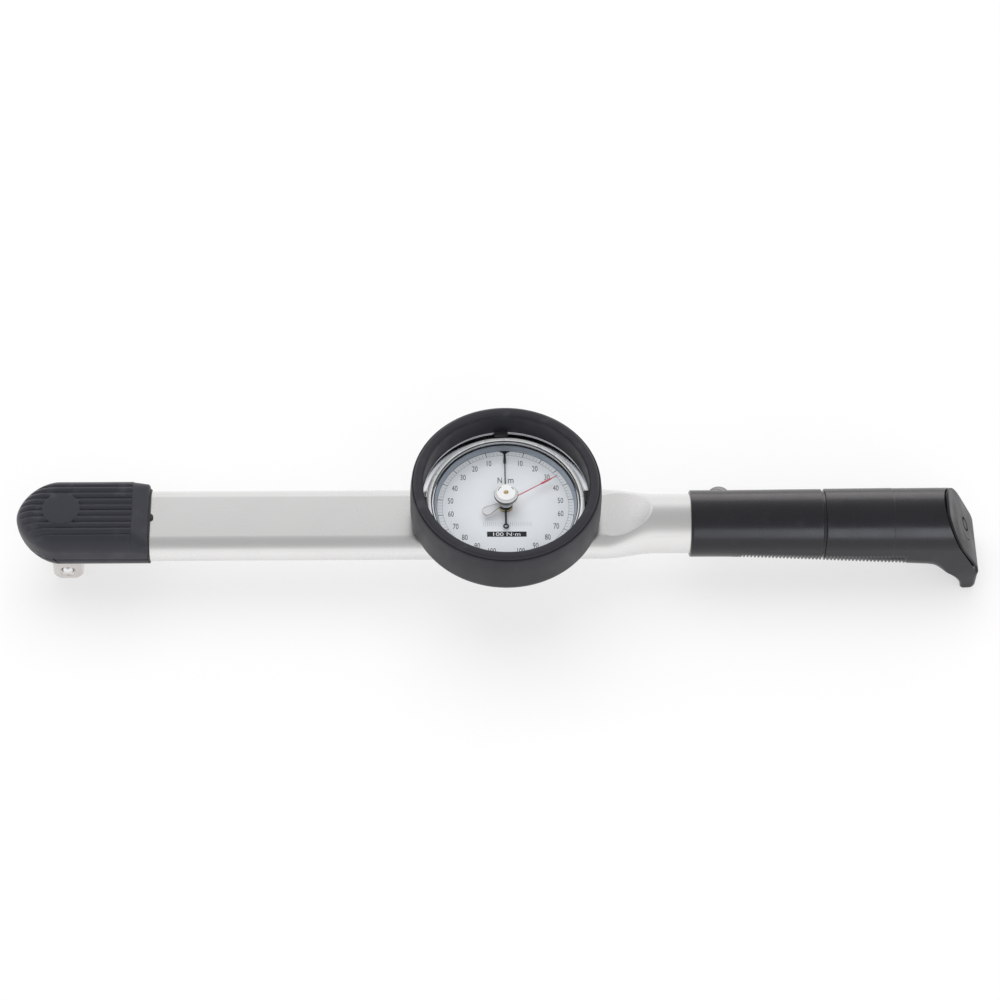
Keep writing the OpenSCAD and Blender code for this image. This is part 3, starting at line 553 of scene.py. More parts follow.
def side_mark(profile):
    """Depth of the moulding line that runs low round the cover's side."""
    line_z, line_half, line_depth = 0.4, 0.75, 0.4
    near = np.clip(1 - np.abs(profile[:, 1] - line_z) / line_half, 0, 1)
    return line_depth * near * (profile[:, 0] > 10)


def cover_slit(half):
    """A thin slanting slit low on the cover's near side, as a cutter."""
    upper, lower, half_w, depth = np.array((-3.4, 1.4)), np.array((-0.4, -3.8)), 0.22, 2.0
    along = (lower - upper) / np.linalg.norm(lower - upper)
    across = np.array((-along[1], along[0])) * half_w
    box = [upper - across, lower - across, lower + across, upper + across]
    return [(x, y, z) for y in (-half - 1, -half + depth) for x, z in box], rings_to_faces(2, 4)


def make_boss():
    """The short collar under the cover, round the spindle's hole."""
    inner, outer, foot = SPINDLE_HOLE_R, 13.0, -9.5
    outline = rounded([(inner, -7.6, 0), (inner, foot, 0.4), (outer, foot, 0.9), (outer, -7.2, 0)])
    piece("head_boss", *lathe(outline), "frame", COVER, slot="cover_rubber")


def make_nub():
    """The small rubber nub on the tube at the cover's rear, and the lip there that closes on the tube."""
    outline = rounded([(0, 6.9, 0), (1.6, 6.9, 0), (1.6, 8.2, 0.7), (0, 8.5, 0)])
    rear_x = corners("head_cover")[1][0]
    piece("head_nub", *lathe(outline, x=rear_x + 0.3, y=-0.4, steps=48), "frame", SEAL, slot="seal_rubber")
    insets = (0.6, 0.0, 0.0, 0.25)
    places = [rear_x + shift for shift in (-0.5, -0.3, 0.35, 0.6)]
    lip = along_x([stadium(17.95 - inset, 8.35 - inset, 96) for inset in insets], places)
    end_lip = piece("head_lip", *lip, "frame", SEAL, slot="seal_rubber")
    cut(end_lip, [along_x([TUBE_GAP] * 2, [rear_x - 3, rear_x + 3])])


# ---- drive

def make_drive():
    """The round spindle and, below its shoulder, the square with a rounded end and a bore for the ball."""
    low, high = corners("drive_spindle")
    shoulder, end, spindle_r = -AXIS_Z, low[2], high[1]
    half, power = 12.7 / 2, 16
    end_r, round_h, edge_h, edge_r, count = 7.0, 4.6, 0.35, 0.35, 192
    turn = np.linspace(0, 2 * pi, count, endpoint=False)
    verts = []
    levels = [(high[2], spindle_r), (shoulder + 0.6, spindle_r), (shoulder, spindle_r - 0.6)]
    for z, r in levels:
        verts.extend([(r * cos(a), r * sin(a), z) for a in turn])
    square_z = [shoulder] + list(np.linspace(shoulder - 0.05, end + round_h + 0.2, 5))
    square_z += list(np.linspace(end + round_h, end + edge_h, 20)) + [end + 0.18, end + 0.06, end]
    for z in square_z:
        above = z - end
        rise = sin(pi / 2 * min(above / round_h, 1.0))
        near_end = max(0, 1 - above / edge_h) ** 2
        limit = end_r + (half * sqrt(2) - end_r) * rise - 0.25 * near_end
        flat = half - edge_r * near_end
        for a in turn:
            c, s = cos(a), sin(a)
            r = min(flat / (abs(c) ** power + abs(s) ** power) ** (1 / power), limit)
            verts.append((r * c, r * s, z))
    spindle = piece("drive_spindle_skin", verts, rings_to_faces(len(levels) + len(square_z), count), "drive",
                    DRIVE, ["drive_spindle"], "drive_chrome", sharp=25)
    socket = lathe(rectangle(0, corners("torsion_bar")[0][2] - 0.05, 4.9, high[2] + 1), steps=64)
    ball_z = corners("detent_ball")[0][2] + 2.6
    hole = y_lathe(rectangle(0, 0.35 - half, 2.65, 1.5), z=ball_z)
    mouth = y_lathe([(0, -half - 1), (3.4, -half - 1), (3.4, -half + 0.1), (2.75, -half + 0.75),
                     (2.75, -half + 1), (0, -half + 1)], z=ball_z)
    cut(spindle, [socket, hole, mouth], sharp=25)


def make_ball():
    low, high = corners("detent_ball")
    centre, r = (low + high) / 2, (high[0] - low[0]) / 2
    ball = y_lathe(arc(0, centre[1], r, -90, 90, 32), centre[0], centre[2])
    piece("detent_ball_skin", *ball, "detent", BALL, ["detent_ball"], "drive_chrome")


def make_detent_spring():
    """The coil behind the ball, built at one length."""
    low, high = corners("detent_spring")
    wire_r, turns, per_turn, around = 0.22, 6, 24, 10
    steps = turns * per_turn
    centre = (low + high) / 2
    coil_r = (high[0] - low[0]) / 2 - wire_r
    length = high[1] - low[1]
    along = np.array((0.0, 1.0, 0.0))
    verts = []
    for k in range(steps + 1):
        turn = 2 * pi * k / per_turn
        out = np.array((cos(turn), 0.0, sin(turn)))
        y = low[1] + wire_r + (length - 2 * wire_r) * k / steps
        middle = np.array((centre[0], y, centre[2])) + coil_r * out
        for a in np.linspace(0, 2 * pi, around, endpoint=False):
            verts.append(tuple(middle + wire_r * (cos(a) * out + sin(a) * along)))
    spring = piece("detent_spring_skin", verts, rings_to_faces(steps + 1, around), "drive", SPRING,
                   ["detent_spring"], "spring_steel")
    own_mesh(spring)


# ---- tube

def make_tube():
    low, high = corners("tube")
    start, end = low[0], high[0]
    half_w, half_h, r = high[1], 7.0, high[2]
    wall, flat_end, round_start = 1.5, 235.0, 258.0
    tongue_len, tongue_power = 21.5, 2.2
    count = 160

    def section(x, inset):
        t = float(smooth_step(x, flat_end, round_start))
        w = half_w + (r - half_w) * t
        h = half_h + (r - half_h) * t
        points = np.array(stadium(w - inset, h - inset, count))
        if flat_end < x < flat_end + tongue_len:
            ceiling = half_h + (r - half_h) * ((x - flat_end) / tongue_len) ** tongue_power - inset
            points[:, 1] = np.clip(points[:, 1], -ceiling, ceiling)
        return points

    places = [start] + list(np.linspace(start + 2, flat_end, 24))
    places += list(np.linspace(flat_end + 0.4, round_start + 3, 64))
    places += list(np.linspace(round_start + 5, end, 16))
    outer = [section(x, 0.0) for x in places]
    inner = [section(x, wall) for x in places]
    path = places + places[::-1]
    verts = [(x, y, z) for x, ring in zip(path, outer + inner[::-1]) for y, z in ring]
    faces = rings_to_faces(len(path), len(outer[0]), closed_path=True)
    tube = piece("tube_skin", verts, faces, "frame", TUBE, ["tube"], "satin_chrome")
    arbor_hole = lathe(rectangle(0, 0, 3.6, 9), x=DIAL_X, steps=64)
    lower_hole = lathe(rectangle(0, -9, 2.0, 0), x=DIAL_X, steps=48)
    cut(tube, [arbor_hole, lower_hole])


# ---- dial

GUARD_BORE = 36.5
TAB_TURN = 2.5
TAB_HALF_W = 2.9
BEZEL_TOP = 17.0
BEZEL_SEAT_R = 32.2
LEDGE_R = 31.25
LEDGE_Z = 16.42
FACE_Z = 13.5
PLATE_BOTTOM = 12.7
INK_T = 0.03
STEP_ANGLE = 16.5
CIRCLE_R = 27.5
TICK_END_R = 29.75
FIGURE_R = 24.1
FIGURE_H = 2.9


def dial_ring(name, outline, material, replaces=(), slot=None, steps=192, sharp=32.0):
    """A piece of the scale ring that is turned about the dial's axis."""
    piece(name, *lathe(outline, x=DIAL_X, steps=steps), "scale_ring", material, replaces, slot, sharp)


def make_guard():
    """The rubber ring round the dial, and its four inner tabs that hook over the bezel."""
    low, high = corners("guard", DIAL_X)
    outer, top, bottom = high[0] - 0.1, high[2], low[2]
    lip_in, lip_out, lip_r, foot_r = 35.8, 40.5, 1.7, 4.5
    crease_z = top - 1.9
    outline = [(GUARD_BORE, bottom + 0.3), (GUARD_BORE + 0.3, bottom)]
    outline += arc(outer - foot_r, bottom + foot_r, foot_r, -90, 0, 14)
    outline += [(outer, top - 9.0), (outer - 0.1, top - 6.0), (outer - 0.35, top - 3.6)]
    outline += arc(lip_out - 0.15, crease_z - 0.1, 0.55, 10, 90, 5)
    outline += [(lip_out - 0.45, crease_z + 0.2)]
    outline += arc(lip_out - lip_r - 0.35, top - lip_r, lip_r, 12, 90, 8)
    outline += arc(lip_in + lip_r, top - lip_r, lip_r, 90, 180, 10)
    outline += [(lip_in + 0.05, top - 3.2), (GUARD_BORE, top - 8)]
    dial_ring("guard_ring", outline, GUARD, ["guard"], "guard_rubber", steps=256, sharp=40)
    root, tip, bezel_r = GUARD_BORE + 0.3, 34.15, corners("bezel", DIAL_X)[1][0] + 0.05
    hook = rounded([(root, 10.2, 0), (root, 19.2, 0), (tip, 19.2, 0.35), (tip, 17.4, 0.25),
                    (bezel_r, 16.95, 0.2), (bezel_r, 10.2, 0)])
    half_angle = degrees(TAB_HALF_W / 35.5)
    for i in range(4):
        middle = 90 * i + TAB_TURN
        tab = lathe_part(hook, DIAL_X, middle - half_angle, middle + half_angle, 10)
        piece(f"guard_tab_{i + 1}", *tab, "scale_ring", SEAL, slot="guard_rubber")


def make_band():
    """The bright steel band inside the guard, open at the four tabs."""
    inner, outer, low, high, edge = 36.02, 36.48, 8.4, 19.0, 0.12
    outline = rounded([(inner, low, 0), (outer, low, 0), (outer, high, edge), (inner, high, edge)])
    gap = degrees((TAB_HALF_W + 0.1) / 36)
    parts = [lathe_part(outline, DIAL_X, turn + gap, turn + 90 - gap, 60)
             for turn in np.arange(4) * 90 + TAB_TURN]
    piece("guard_band_skin", *join(parts), "scale_ring", CHROME, ["guard_band"], "bezel_chrome")


def make_bezel():
    """The chrome bezel, its rim in a pale colour that is a painted reflection, the flange that slopes down to the
    dial in a blue-grey that is a painted reflection, and a black ring of painted shade at its foot.
    """
    low, high = corners("bezel", DIAL_X)
    outer, bottom = high[0], low[2]
    skirt, groove_r, edge_r = 33.3, 33.7, 0.7
    outline = [(skirt, bottom + 0.1), (skirt + 0.2, bottom), (outer - 0.3, bottom), (outer, bottom + 0.3)]
    outline += arc(outer - edge_r, BEZEL_TOP - edge_r, edge_r, 0, 100, 8)
    outline += [(34.0, BEZEL_TOP - 0.1), (33.8, BEZEL_TOP), (BEZEL_SEAT_R, BEZEL_TOP)]
    outline += [(BEZEL_SEAT_R, LEDGE_Z), (LEDGE_R + 0.1, LEDGE_Z), (LEDGE_R, LEDGE_Z - 0.1)]
    outline += [(LEDGE_R, PLATE_BOTTOM), (skirt, PLATE_BOTTOM), (skirt, 11.3)]
    outline += [(groove_r, 11.3), (groove_r, 10.1), (skirt, 10.1)]
    dial_ring("bezel_ring", outline, CHROME, ["bezel"], "bezel_chrome", steps=256)
    # The rim's pale, half-metal finish is a painted reflection of the bright strip on the chrome.
    rim = [(BEZEL_SEAT_R, BEZEL_TOP - 0.02), (33.98, BEZEL_TOP - 0.02)]
    rim += arc(33.55, 17.45, 0.43, 0, 80, 8) + arc(32.9, 17.45, 0.5, 95, 180, 8)
    rim += [(32.35, 17.35), (BEZEL_SEAT_R, 17.3)]
    dial_ring("bezel_rim", rim, RIM, slot="bezel_chrome", steps=256)
    # The flange's blue-grey colour is a painted reflection of what the chrome there would mirror.
    flange = [(31.0, 16.0), (30.75, 15.7)]
    flange += [(TICK_END_R + r, FACE_Z + z) for r, z in ((0.75, 1.75), (0.55, 1.2), (0.3, 0.6), (0.0, 0.15))]
    flange += [(TICK_END_R, FACE_Z), (LEDGE_R, FACE_Z), (LEDGE_R, 16.0)]
    dial_ring("dial_flange", flange, FLANGE_PAINTED_REFLECTION, slot="bezel_chrome", steps=256, sharp=50)
    # A black ring in the corner where the flange meets the dial face: painted shade in that corner.
    edge = [(29.72, FACE_Z), (29.95, FACE_Z), (29.95, FACE_Z + 0.25), (29.72, FACE_Z + 0.12)]
    dial_ring("dial_edge_line", edge, INK, slot="bezel_chrome", steps=256)


def make_lens():
    """The domed lens with its flat foot, a seal under it and a seal round it."""
    edge_r, edge_z, rise, thick, hole = 31.4, 17.6, 4.4, 1.2, 1.55
    ball = (edge_r ** 2 + rise ** 2) / (2 * rise)
    radii = np.linspace(hole, edge_r, 28)
    upper = [(r, edge_z + rise - ball + sqrt(ball ** 2 - r ** 2)) for r in radii]
    lower = [(r, z - thick) for r, z in upper]
    foot = [(32.0, edge_z), (32.1, edge_z - 0.1), (32.1, 16.45), (32.0, 16.4)]
    dial_ring("lens_dome", upper + foot + lower[::-1], CLEAR, ["lens"], "lens_clear", steps=160, sharp=50)
    seal = rounded([(30.98, 16.0, 0), (LEDGE_R, 16.0, 0), (LEDGE_R, LEDGE_Z, 0), (31.02, LEDGE_Z, 0.08)])
    dial_ring("lens_seal", seal, SEAL, ["lens_gasket"], "seal_rubber")
    upper_seal = rounded([(31.9, 17.62, 0.04), (32.19, 17.5, 0), (32.36, 17.5, 0), (32.3, 17.76, 0.05)])
    dial_ring("lens_seal_top", upper_seal, SEAL, slot="seal_rubber")


def dial_ink(name, parts, material):
    """Marks on the dial's face, from (points, faces) pairs."""
    piece(name, *join(parts), "scale_ring", material, slot="dial_white")


def flat_ink(outline):
    return prism(outline, FACE_Z, FACE_Z + INK_T)


def make_dial():
    hole_r, outer = 3.0, BEZEL_SEAT_R
    plate = rounded([(hole_r, PLATE_BOTTOM, 0.05), (outer, PLATE_BOTTOM, 0), (outer, FACE_Z, 0),
                     (hole_r, FACE_Z, 0.1)])
    dial_ring("dial_face", plate, DIAL, ["dial_plate"], "dial_white")
    line = rectangle(CIRCLE_R - 0.07, FACE_Z, CIRCLE_R + 0.07, FACE_Z + INK_T)
    dial_ring("dial_circle", line, GREY_INK, slot="dial_white")
    make_ticks()
    make_figures()
    make_zero_mark()
    bar = rounded([(DIAL_X + x, y, 0.15) for x, y in rectangle(-8.3, -15.9, 8.8, -13.2)])
    dial_ink("dial_bar", [flat_ink(bar)], INK)
    half_w = 0.16
    strokes = [rectangle(x - half_w, -10.4, x + half_w, -8.2) for x in DIAL_X + np.arange(-9.8, 10.9, 0.9)]
    dial_ink("dial_faint_row", [flat_ink(stroke) for stroke in strokes], FAINT_INK)


def tick(angle, end, half_w):
    """A thin stroke outwards from the circle, its angle in degrees clockwise from the zero."""
    verts, faces = flat_ink(rectangle(-half_w, CIRCLE_R, half_w, end))
    return turned(verts, -angle, DIAL_X), faces


def make_ticks():
    fine, long = [], []
    for i in range(1, 51):
        for side in (-1, 1):
            angle = side * i * STEP_ANGLE / 5
            if i % 5 == 0:
                long.append(tick(angle, TICK_END_R, 0.13))
            else:
                fine.append(tick(angle, CIRCLE_R + 1.5, 0.06))
    dial_ink("dial_ticks_long", long, INK)
    dial_ink("dial_ticks_fine", fine, GREY_INK)


def text_prism(body, height, squeeze, x, y, z=FACE_Z + INK_T / 2):
    """Extruded figures, centred on a place, as points and faces."""
    curve = bpy.data.curves.new("figures", "FONT")
    curve.body = body
    curve.extrude = 0.5
    curve.resolution_u = 3
    holder = new_object("figures", curve)
    mesh = evaluated_mesh(holder)
    points = np.array([v.co[:] for v in mesh.vertices])
    faces = [tuple(p.vertices) for p in mesh.polygons]
    bpy.data.objects.remove(holder)
    bpy.data.meshes.remove(mesh)
    low, high = points.min(axis=0), points.max(axis=0)
    scale = height / (high[1] - low[1])
    middle = (low + high) / 2
    points = (points - middle) * (scale * squeeze, scale, INK_T)
    return [(p[0] + x, p[1] + y, p[2] + z) for p in points], faces


def make_figures():
    parts = []
    for i in range(1, 11):
        for side in (-1, 1):
            a = radians(side * i * STEP_ANGLE)
            parts.append(text_prism(str(10 * i), FIGURE_H, 0.62,
                                    DIAL_X + FIGURE_R * sin(a), FIGURE_R * cos(a)))
    parts.append(text_prism("N", 3.1, 0.66, DIAL_X - 2.3, 14.0))
    parts.append(text_prism("m", 2.3, 0.72, DIAL_X + 2.5, 13.6))
    dial_ink("dial_figures", parts, INK)
    value = text_prism("100 N·m", 1.9, 1.3, DIAL_X + 0.25, -14.55, FACE_Z + 1.5 * INK_T)
    dial_ink("dial_bar_figures", [value], WHITE_INK)


def make_zero_mark():
    """The black funnel that marks zero at the top of the scale."""
    top_r, half_angle = 29.8, 5.6
    outline = arc(0, 0, top_r, 90 + half_angle, 90 - half_angle, 17)
    outline += mirrored([(0.4 + 2.5 * t ** 2.2, 27.3 + 2.35 * t ** 0.8) for t in np.linspace(1, 0, 10)])
    dial_ink("dial_zero_mark", [flat_ink([(x + DIAL_X, y) for x, y in outline])], INK)


def flat_piece(outline, low, high, bevel):
    """Closed plate on an outline, with a small bevel made by scaling towards a spine along Y."""
    ring = np.array(outline, float)
    layers = [(low, 1.0), (high - bevel, 1.0), (high, 0.7)]
    verts = [(p[0] * share, p[1], z) for z, share in layers for p in ring]
    return verts, rings_to_faces(len(layers), len(ring))


def make_main_pointer():
    low, high = corners("main_pointer", DIAL_X)
    bottom, top, tip = low[2], high[2], high[1]
    blade = [(0.3, 2.2), (0.24, 12), (0.24, 21.8), (0.62, 22.8), (0.5, 26.0), (0.12, tip)]
    tail_r, ring_out, ring_in, hub_in, hub_out, bevel = 11.3, 1.3, 0.68, 1.6, 2.9, 0.12
    tail = [(0.55, -2.4), (0.45, -3.4), (0.42, ring_out - tail_r - 0.15)]
    hub = rounded([(hub_in, bottom, 0), (hub_out, bottom, 0), (hub_out, top, 0.1), (hub_in, top, 0)])
    ring = rounded([(ring_in, bottom, 0), (ring_out, bottom, 0), (ring_out, top, bevel),
                    (ring_in, top, bevel)])
    flats = [flat_piece(mirrored(half), bottom, top, bevel) for half in (blade, tail)]
    verts, faces = join(flats + [lathe(hub, steps=96), lathe(ring, y=-tail_r, steps=64)])
    piece("main_pointer_skin", turned(verts, 0, DIAL_X), faces, "pointer", POINTER, ["main_pointer"],
          "pointer_black")


MEMORY_REST = -58.5


def memory_piece(name, shape, material, replaces=(), slot=None):
    """A piece of the memory hand, drawn along Y and then turned to where the hand rests."""
    verts, faces = shape
    piece(name, turned(verts, MEMORY_REST, DIAL_X), faces, "memory_hand", material, replaces, slot)


def make_memory_hand():
    low, high = corners("memory_pointer", DIAL_X)
    bottom, top = low[2], high[2]
    blade = [(0.4, 1.9), (0.17, 6), (0.15, 17.6), (0.46, 18.8), (0.4, 22.4), (0.12, 24.0), (0.08, 26.6)]
    hub = rounded([(1.5, bottom, 0), (2.3, bottom, 0), (2.3, top, 0.1), (1.5, top, 0)])
    hand = join([flat_piece(mirrored(blade), bottom, top, 0.1), lathe(hub, steps=96)])
    memory_piece("memory_pointer_skin", hand, RED, ["memory_pointer"], "memory_red")
    end_y, end_r, root_y, half_line = -9.5, 2.1, -2.2, 0.09
    paddle = [(-0.8, root_y)] + arc(0, end_y, end_r, 180, 360, 24) + [(0.8, root_y)]
    tail = flat_piece(paddle, bottom, top, 0.05)
    memory_piece("memory_tail_skin", tail, WHITE, ["memory_tail"], "knob_white")
    parts = []
    for here, there in zip(np.array(paddle[:-1]), np.array(paddle[1:])):
        along = (there - here) / np.linalg.norm(there - here)
        aside = np.array((along[1], -along[0])) * half_line
        box = [here - aside, there - aside, there + aside, here + aside]
        parts.append(prism(box, bottom - 0.02, top + 0.03))
    memory_piece("memory_tail_rim", join(parts), TAIL_RIM, slot="memory_red")


def make_knob():
    """The white knob over a dark ring of painted shade under its rim, with dark arcs of painted shade on its top
    and rim, and a small slotted screw.
    """
    low, high = corners("knob", DIAL_X)
    r, bottom, top = high[0], low[2], high[2]
    foot = bottom + 0.42
    # A dark ring under the knob's rim: painted shade beneath the knob.
    shade_ring = rounded([(1.6, bottom, 0), (r, bottom, 0.1), (r, foot, 0.1), (1.6, foot, 0)])
    piece("knob_washer", *lathe(shade_ring, x=DIAL_X, steps=128), "memory_hand", SEAL, slot="seal_rubber")
    body = rounded([(1.0, foot, 0), (r - 0.1, foot, 0.1), (r, bottom + 1.0, 0.25),
                    (r - 0.5, bottom + 1.3, 0.3), (4.35, top - 0.5, 0.3), (4.1, top, 0.35),
                    (1.05, top, 0.08), (1.0, top - 1.2, 0)])
    piece("knob_skin", *lathe(body, x=DIAL_X, steps=160), "memory_hand", WHITE, ["knob"], "knob_white")
    # Dark arcs of painted shade: two on the top's far side and a band round the near half of the rim.
    top_shade_arc = rectangle(3.35, top - 0.02, 3.65, top + 0.02)
    rim_shade_band = rectangle(r - 0.02, bottom + 0.95, r + 0.06, bottom + 1.3)
    marks = [lathe_part(mark, DIAL_X, start, end, steps) for mark, start, end, steps in
             ((top_shade_arc, 125, 168, 14), (top_shade_arc, 22, 48, 14), (rim_shade_band, 165, 375, 70))]
    piece("knob_marks", *join(marks), "memory_hand", INK, slot="knob_white")
    screw = rounded([(0, top - 1.2, 0), (0.98, top - 1.2, 0), (0.98, top - 0.05, 0.2), (0, top - 0.02, 0)])
    head = piece("knob_screw_skin", *lathe(screw, x=DIAL_X, steps=64), "memory_hand", BRASS,
                 ["knob_screw"], "brass")
    slot_verts, slot_faces = prism(rectangle(-2, -0.16, 2, 0.16), top - 0.45, top + 1)
    cut(head, [(turned(slot_verts, 35, DIAL_X), slot_faces)])


# ---- grip

GROOVE_X = 331.6
HEEL_START = 379.0
HEEL_R = 15.2
FACET_TOP = np.array((385.2, 15.2))
FACET_END = np.array((401.0, -15.5))
FACET_LENGTH = float(np.linalg.norm(FACET_END - FACET_TOP))
FACET_ALONG = (FACET_END - FACET_TOP) / FACET_LENGTH
FACET_OUT = np.array((-FACET_ALONG[1], FACET_ALONG[0]))
PLATE_T = 1.0
PLATE_GAP = 0.35


def grip_section(r, low, corner, inset, count=176):
    """The grip's section as (y, z) points: round above, straight sides and round corners below."""
    r, low, corner = r - inset, low + inset, max(corner - inset, 0.5)
    side, drop = r - corner, low + corner
    side_step = drop / 8 if drop < -0.05 else -1e-4
    left_side = [(-r, side_step * k) for k in range(1, 8)]
    left_corner = arc(-side, min(drop, 0), corner, 180, 270, count // 8)
    flat = [(side * (2 * k / 12 - 1), low) for k in range(1, 12)]
    right_corner = arc(side, min(drop, 0), corner, 270, 360, count // 8)
    right_side = [(-y, z) for y, z in left_side[::-1]]
    top = arc(0, 0, r, 0, 180, count // 2)
    return np.array(top + left_side + left_corner + flat + right_corner + right_side)


def make_grip():
    """The grip's barrel: a rounded front edge, finger ribs underneath and the force line's groove."""
    low, high = corners("grip")
    start, heel_x, heel_low = low[0], high[0], low[2]
    front_r, front_low, end_low, end_corner, step_r = 14.6, -14.6, -16.0, 8.5, 0.12
    barrel_end, body_end = 290.0, 382.0
    rib_start, rib_end, rib_pitch, rib_depth = 294.0, 370.0, 1.6, 0.9

    def section(x, inset):
        t = float(np.clip((x - barrel_end) / (body_end - barrel_end), 0, 1))
        r = front_r + (HEEL_R - front_r) * t + (step_r if GROOVE_X < x < body_end - 20 else 0.0)
        corner = min(r + (end_corner - HEEL_R) * t, r)
        return grip_section(r, front_low + (end_low - front_low) * t, corner, inset)

    front = ((0, 0.7), (0.08, 0.38), (0.3, 0.1), (0.7, 0.0), (1.3, 0.0), (2.2, 0.0))
    groove = ((0.9, 0.02), (0.7, 0.12), (0.6, 0.3), (0.55, 1.1))
    rib_steps = int((rib_end - rib_start) / rib_pitch * 8)
    cuts = [(start + shift, inset) for shift, inset in front]
    cuts += [(x, 0.0) for x in np.linspace(start + 4, rib_start - 1, 8)]
    cuts += [(x, 0.0) for x in np.linspace(rib_start, rib_end, rib_steps + 1) if abs(x - GROOVE_X) > 0.95]
    cuts += [(GROOVE_X + side * shift, inset) for side in (-1, 1) for shift, inset in groove]
    cuts += [(x, 0.0) for x in np.linspace(rib_end + 1, HEEL_START, 10)]
    verts = []
    for x, inset in sorted(cuts):
        ring = section(x, inset)
        away = np.hypot(ring[:, 0], ring[:, 1])
        underneath = smooth_step(-ring[:, 1] / away, 0.24, 0.44)
        on = float(smooth_step(x, rib_start, rib_start + 4) * (1 - smooth_step(x, rib_end - 4, rib_end)))
        wave = rib_depth * on * (0.5 - 0.5 * cos(2 * pi * (x - rib_start) / rib_pitch))
        ring = ring * (1 - underneath * wave / away)[:, None]
        verts.extend([(x, y, z) for y, z in ring])
    faces = rings_to_faces(len(cuts), len(ring))
    grip = piece("grip_body", verts, faces, "frame", GRIP, ["grip"], "grip_black")
    bore = along_x([arc(0, 0, 13.05, 0, 360, 95)[:-1]] * 2, [start - 1, 372.5])
    screw_seat = y_lathe([(0, 5), (2.6, 5), (2.6, 13.6), (5.35, 13.6), (5.35, 20), (0, 20)], 286.8)
    cut(grip, [bore, screw_seat])
    make_heel(body_end - 6, heel_x, heel_low)
    make_facet()


def heel_outline(front_x, heel_x, heel_low):
    """The heel in side view as (x, z) points, from its front foot. The facet's plate stands off its slope."""
    inward = -FACET_OUT * (PLATE_T + PLATE_GAP)
    top = FACET_TOP + inward - 2 * FACET_ALONG
    end = FACET_END + inward + 0.5 * FACET_ALONG
    return rounded([(front_x, heel_low, 0), (heel_x, heel_low, 2.6), (heel_x - 0.05, end[1] - 0.35, 0.5),
                    (end[0], end[1], 0.15), (top[0], top[1], 0.5), (front_x, 17.5, 0)], 6)


def reach(outline, start, direction):
    """Distance from a point inside a closed outline to its edge, in a direction."""
    best = inf
    for a, b in zip(outline, outline[1:] + outline[:1]):
        edge = np.array(b) - np.array(a)
        grid = np.array((direction, -edge)).T
        if abs(np.linalg.det(grid)) < 1e-9:
            continue
        far, share = np.linalg.solve(grid, np.array(a) - start)
        if far > 0 and -1e-9 <= share <= 1 + 1e-9:
            best = min(best, far)
    return best


def make_heel(front_x, heel_x, heel_low):
    """The heel as a fan of sections about the hollow under it, cut to the barrel's round top."""
    hollow_r, hollow_drop = 15.8, 0.8
    pivot = np.array((HEEL_START, heel_low - hollow_drop))
    outline = heel_outline(front_x, heel_x, heel_low)
    first_tuck, last_angle, most_tuck = 6.5, 3.2, 0.7
    rings = []
    for angle in list(np.linspace(90, 8, 48)) + [first_tuck, 5.4, 4.6, 4.0, 3.5, last_angle]:
        out = np.array((cos(radians(angle)), sin(radians(angle))))
        share = max(0.0, (first_tuck - angle) / (first_tuck - last_angle))
        tuck = most_tuck * (1 - sqrt(1 - share ** 2))
        near = hollow_r + tuck
        far = hollow_r + reach(outline, pivot + out * hollow_r, out) - 0.3 * tuck
        half_w = HEEL_R - 0.9 * (1 - float(smooth_step(angle, 0, 50))) - tuck
        inner_r = 8.5 - 7.0 * (1 - float(smooth_step(angle, 55, 90)))
        outer_r = 0.4 + 1.6 * (1 - float(smooth_step(angle, 24, 40)))
        section = rounded([(-half_w, near, inner_r), (half_w, near, inner_r),
                           (half_w, far, outer_r), (-half_w, far, outer_r)], 8)
        rings.append([(pivot[0] + out[0] * d, y, pivot[1] + out[1] * d) for y, d in section])
    verts = [v for ring in rings for v in ring]
    faces = rings_to_faces(len(rings), len(rings[0]))
    heel = piece("grip_heel", verts, faces, "frame", GRIP, slot="grip_black")
    barrel = arc(0, 0, HEEL_R, 0, 180, 120) + [(-HEEL_R, -40), (HEEL_R, -40)]
    cut(heel, [along_x([barrel] * 2, [HEEL_START - 6, heel_x + 6])], "INTERSECT")


def on_facet(points, height):
    """Places for (y, distance down the slope) points, at a height over the facet's plane."""
    return [(FACET_TOP[0] + FACET_ALONG[0] * d + FACET_OUT[0] * height, y,
             FACET_TOP[1] + FACET_ALONG[1] * d + FACET_OUT[1] * height) for y, d in points]


def facet_edge(shrink, steps=60):
    """The facet's outline as (y, distance down the slope), narrower and round towards its foot."""
    foot_r, foot_taper = 3.0, 1.2
    right = []
    for d in np.linspace(0.45 + shrink, FACET_LENGTH - shrink, steps):
        z = FACET_TOP[1] + FACET_ALONG[1] * d
        wide = sqrt(max(HEEL_R ** 2 - max(z, 0) ** 2, 0.0))
        wide -= foot_taper * float(smooth_step(d, 14, FACET_LENGTH))
        round_end = max(0.0, 1 - (FACET_LENGTH - shrink - d) / foot_r)
        right.append((max(wide + 0.08 - shrink - foot_r * (1 - sqrt(1 - round_end ** 2)), 0.1), d))
    return [(-y, d) for y, d in right] + right[::-1]


def facet_groove(inner, outer, start, end, depth):
    """A cutter for a round groove in the plate, angles in degrees."""
    centre_y, centre_d, steps = 2.0, 22.0, 64
    verts = []
    for a in np.radians(np.linspace(start, end, steps + 1)):
        for r, height in rectangle(inner, -depth, outer, 1.0):
            verts.extend(on_facet([(centre_y + r * cos(a), centre_d + r * sin(a))], height))
    return verts, rings_to_faces(steps + 1, 4)


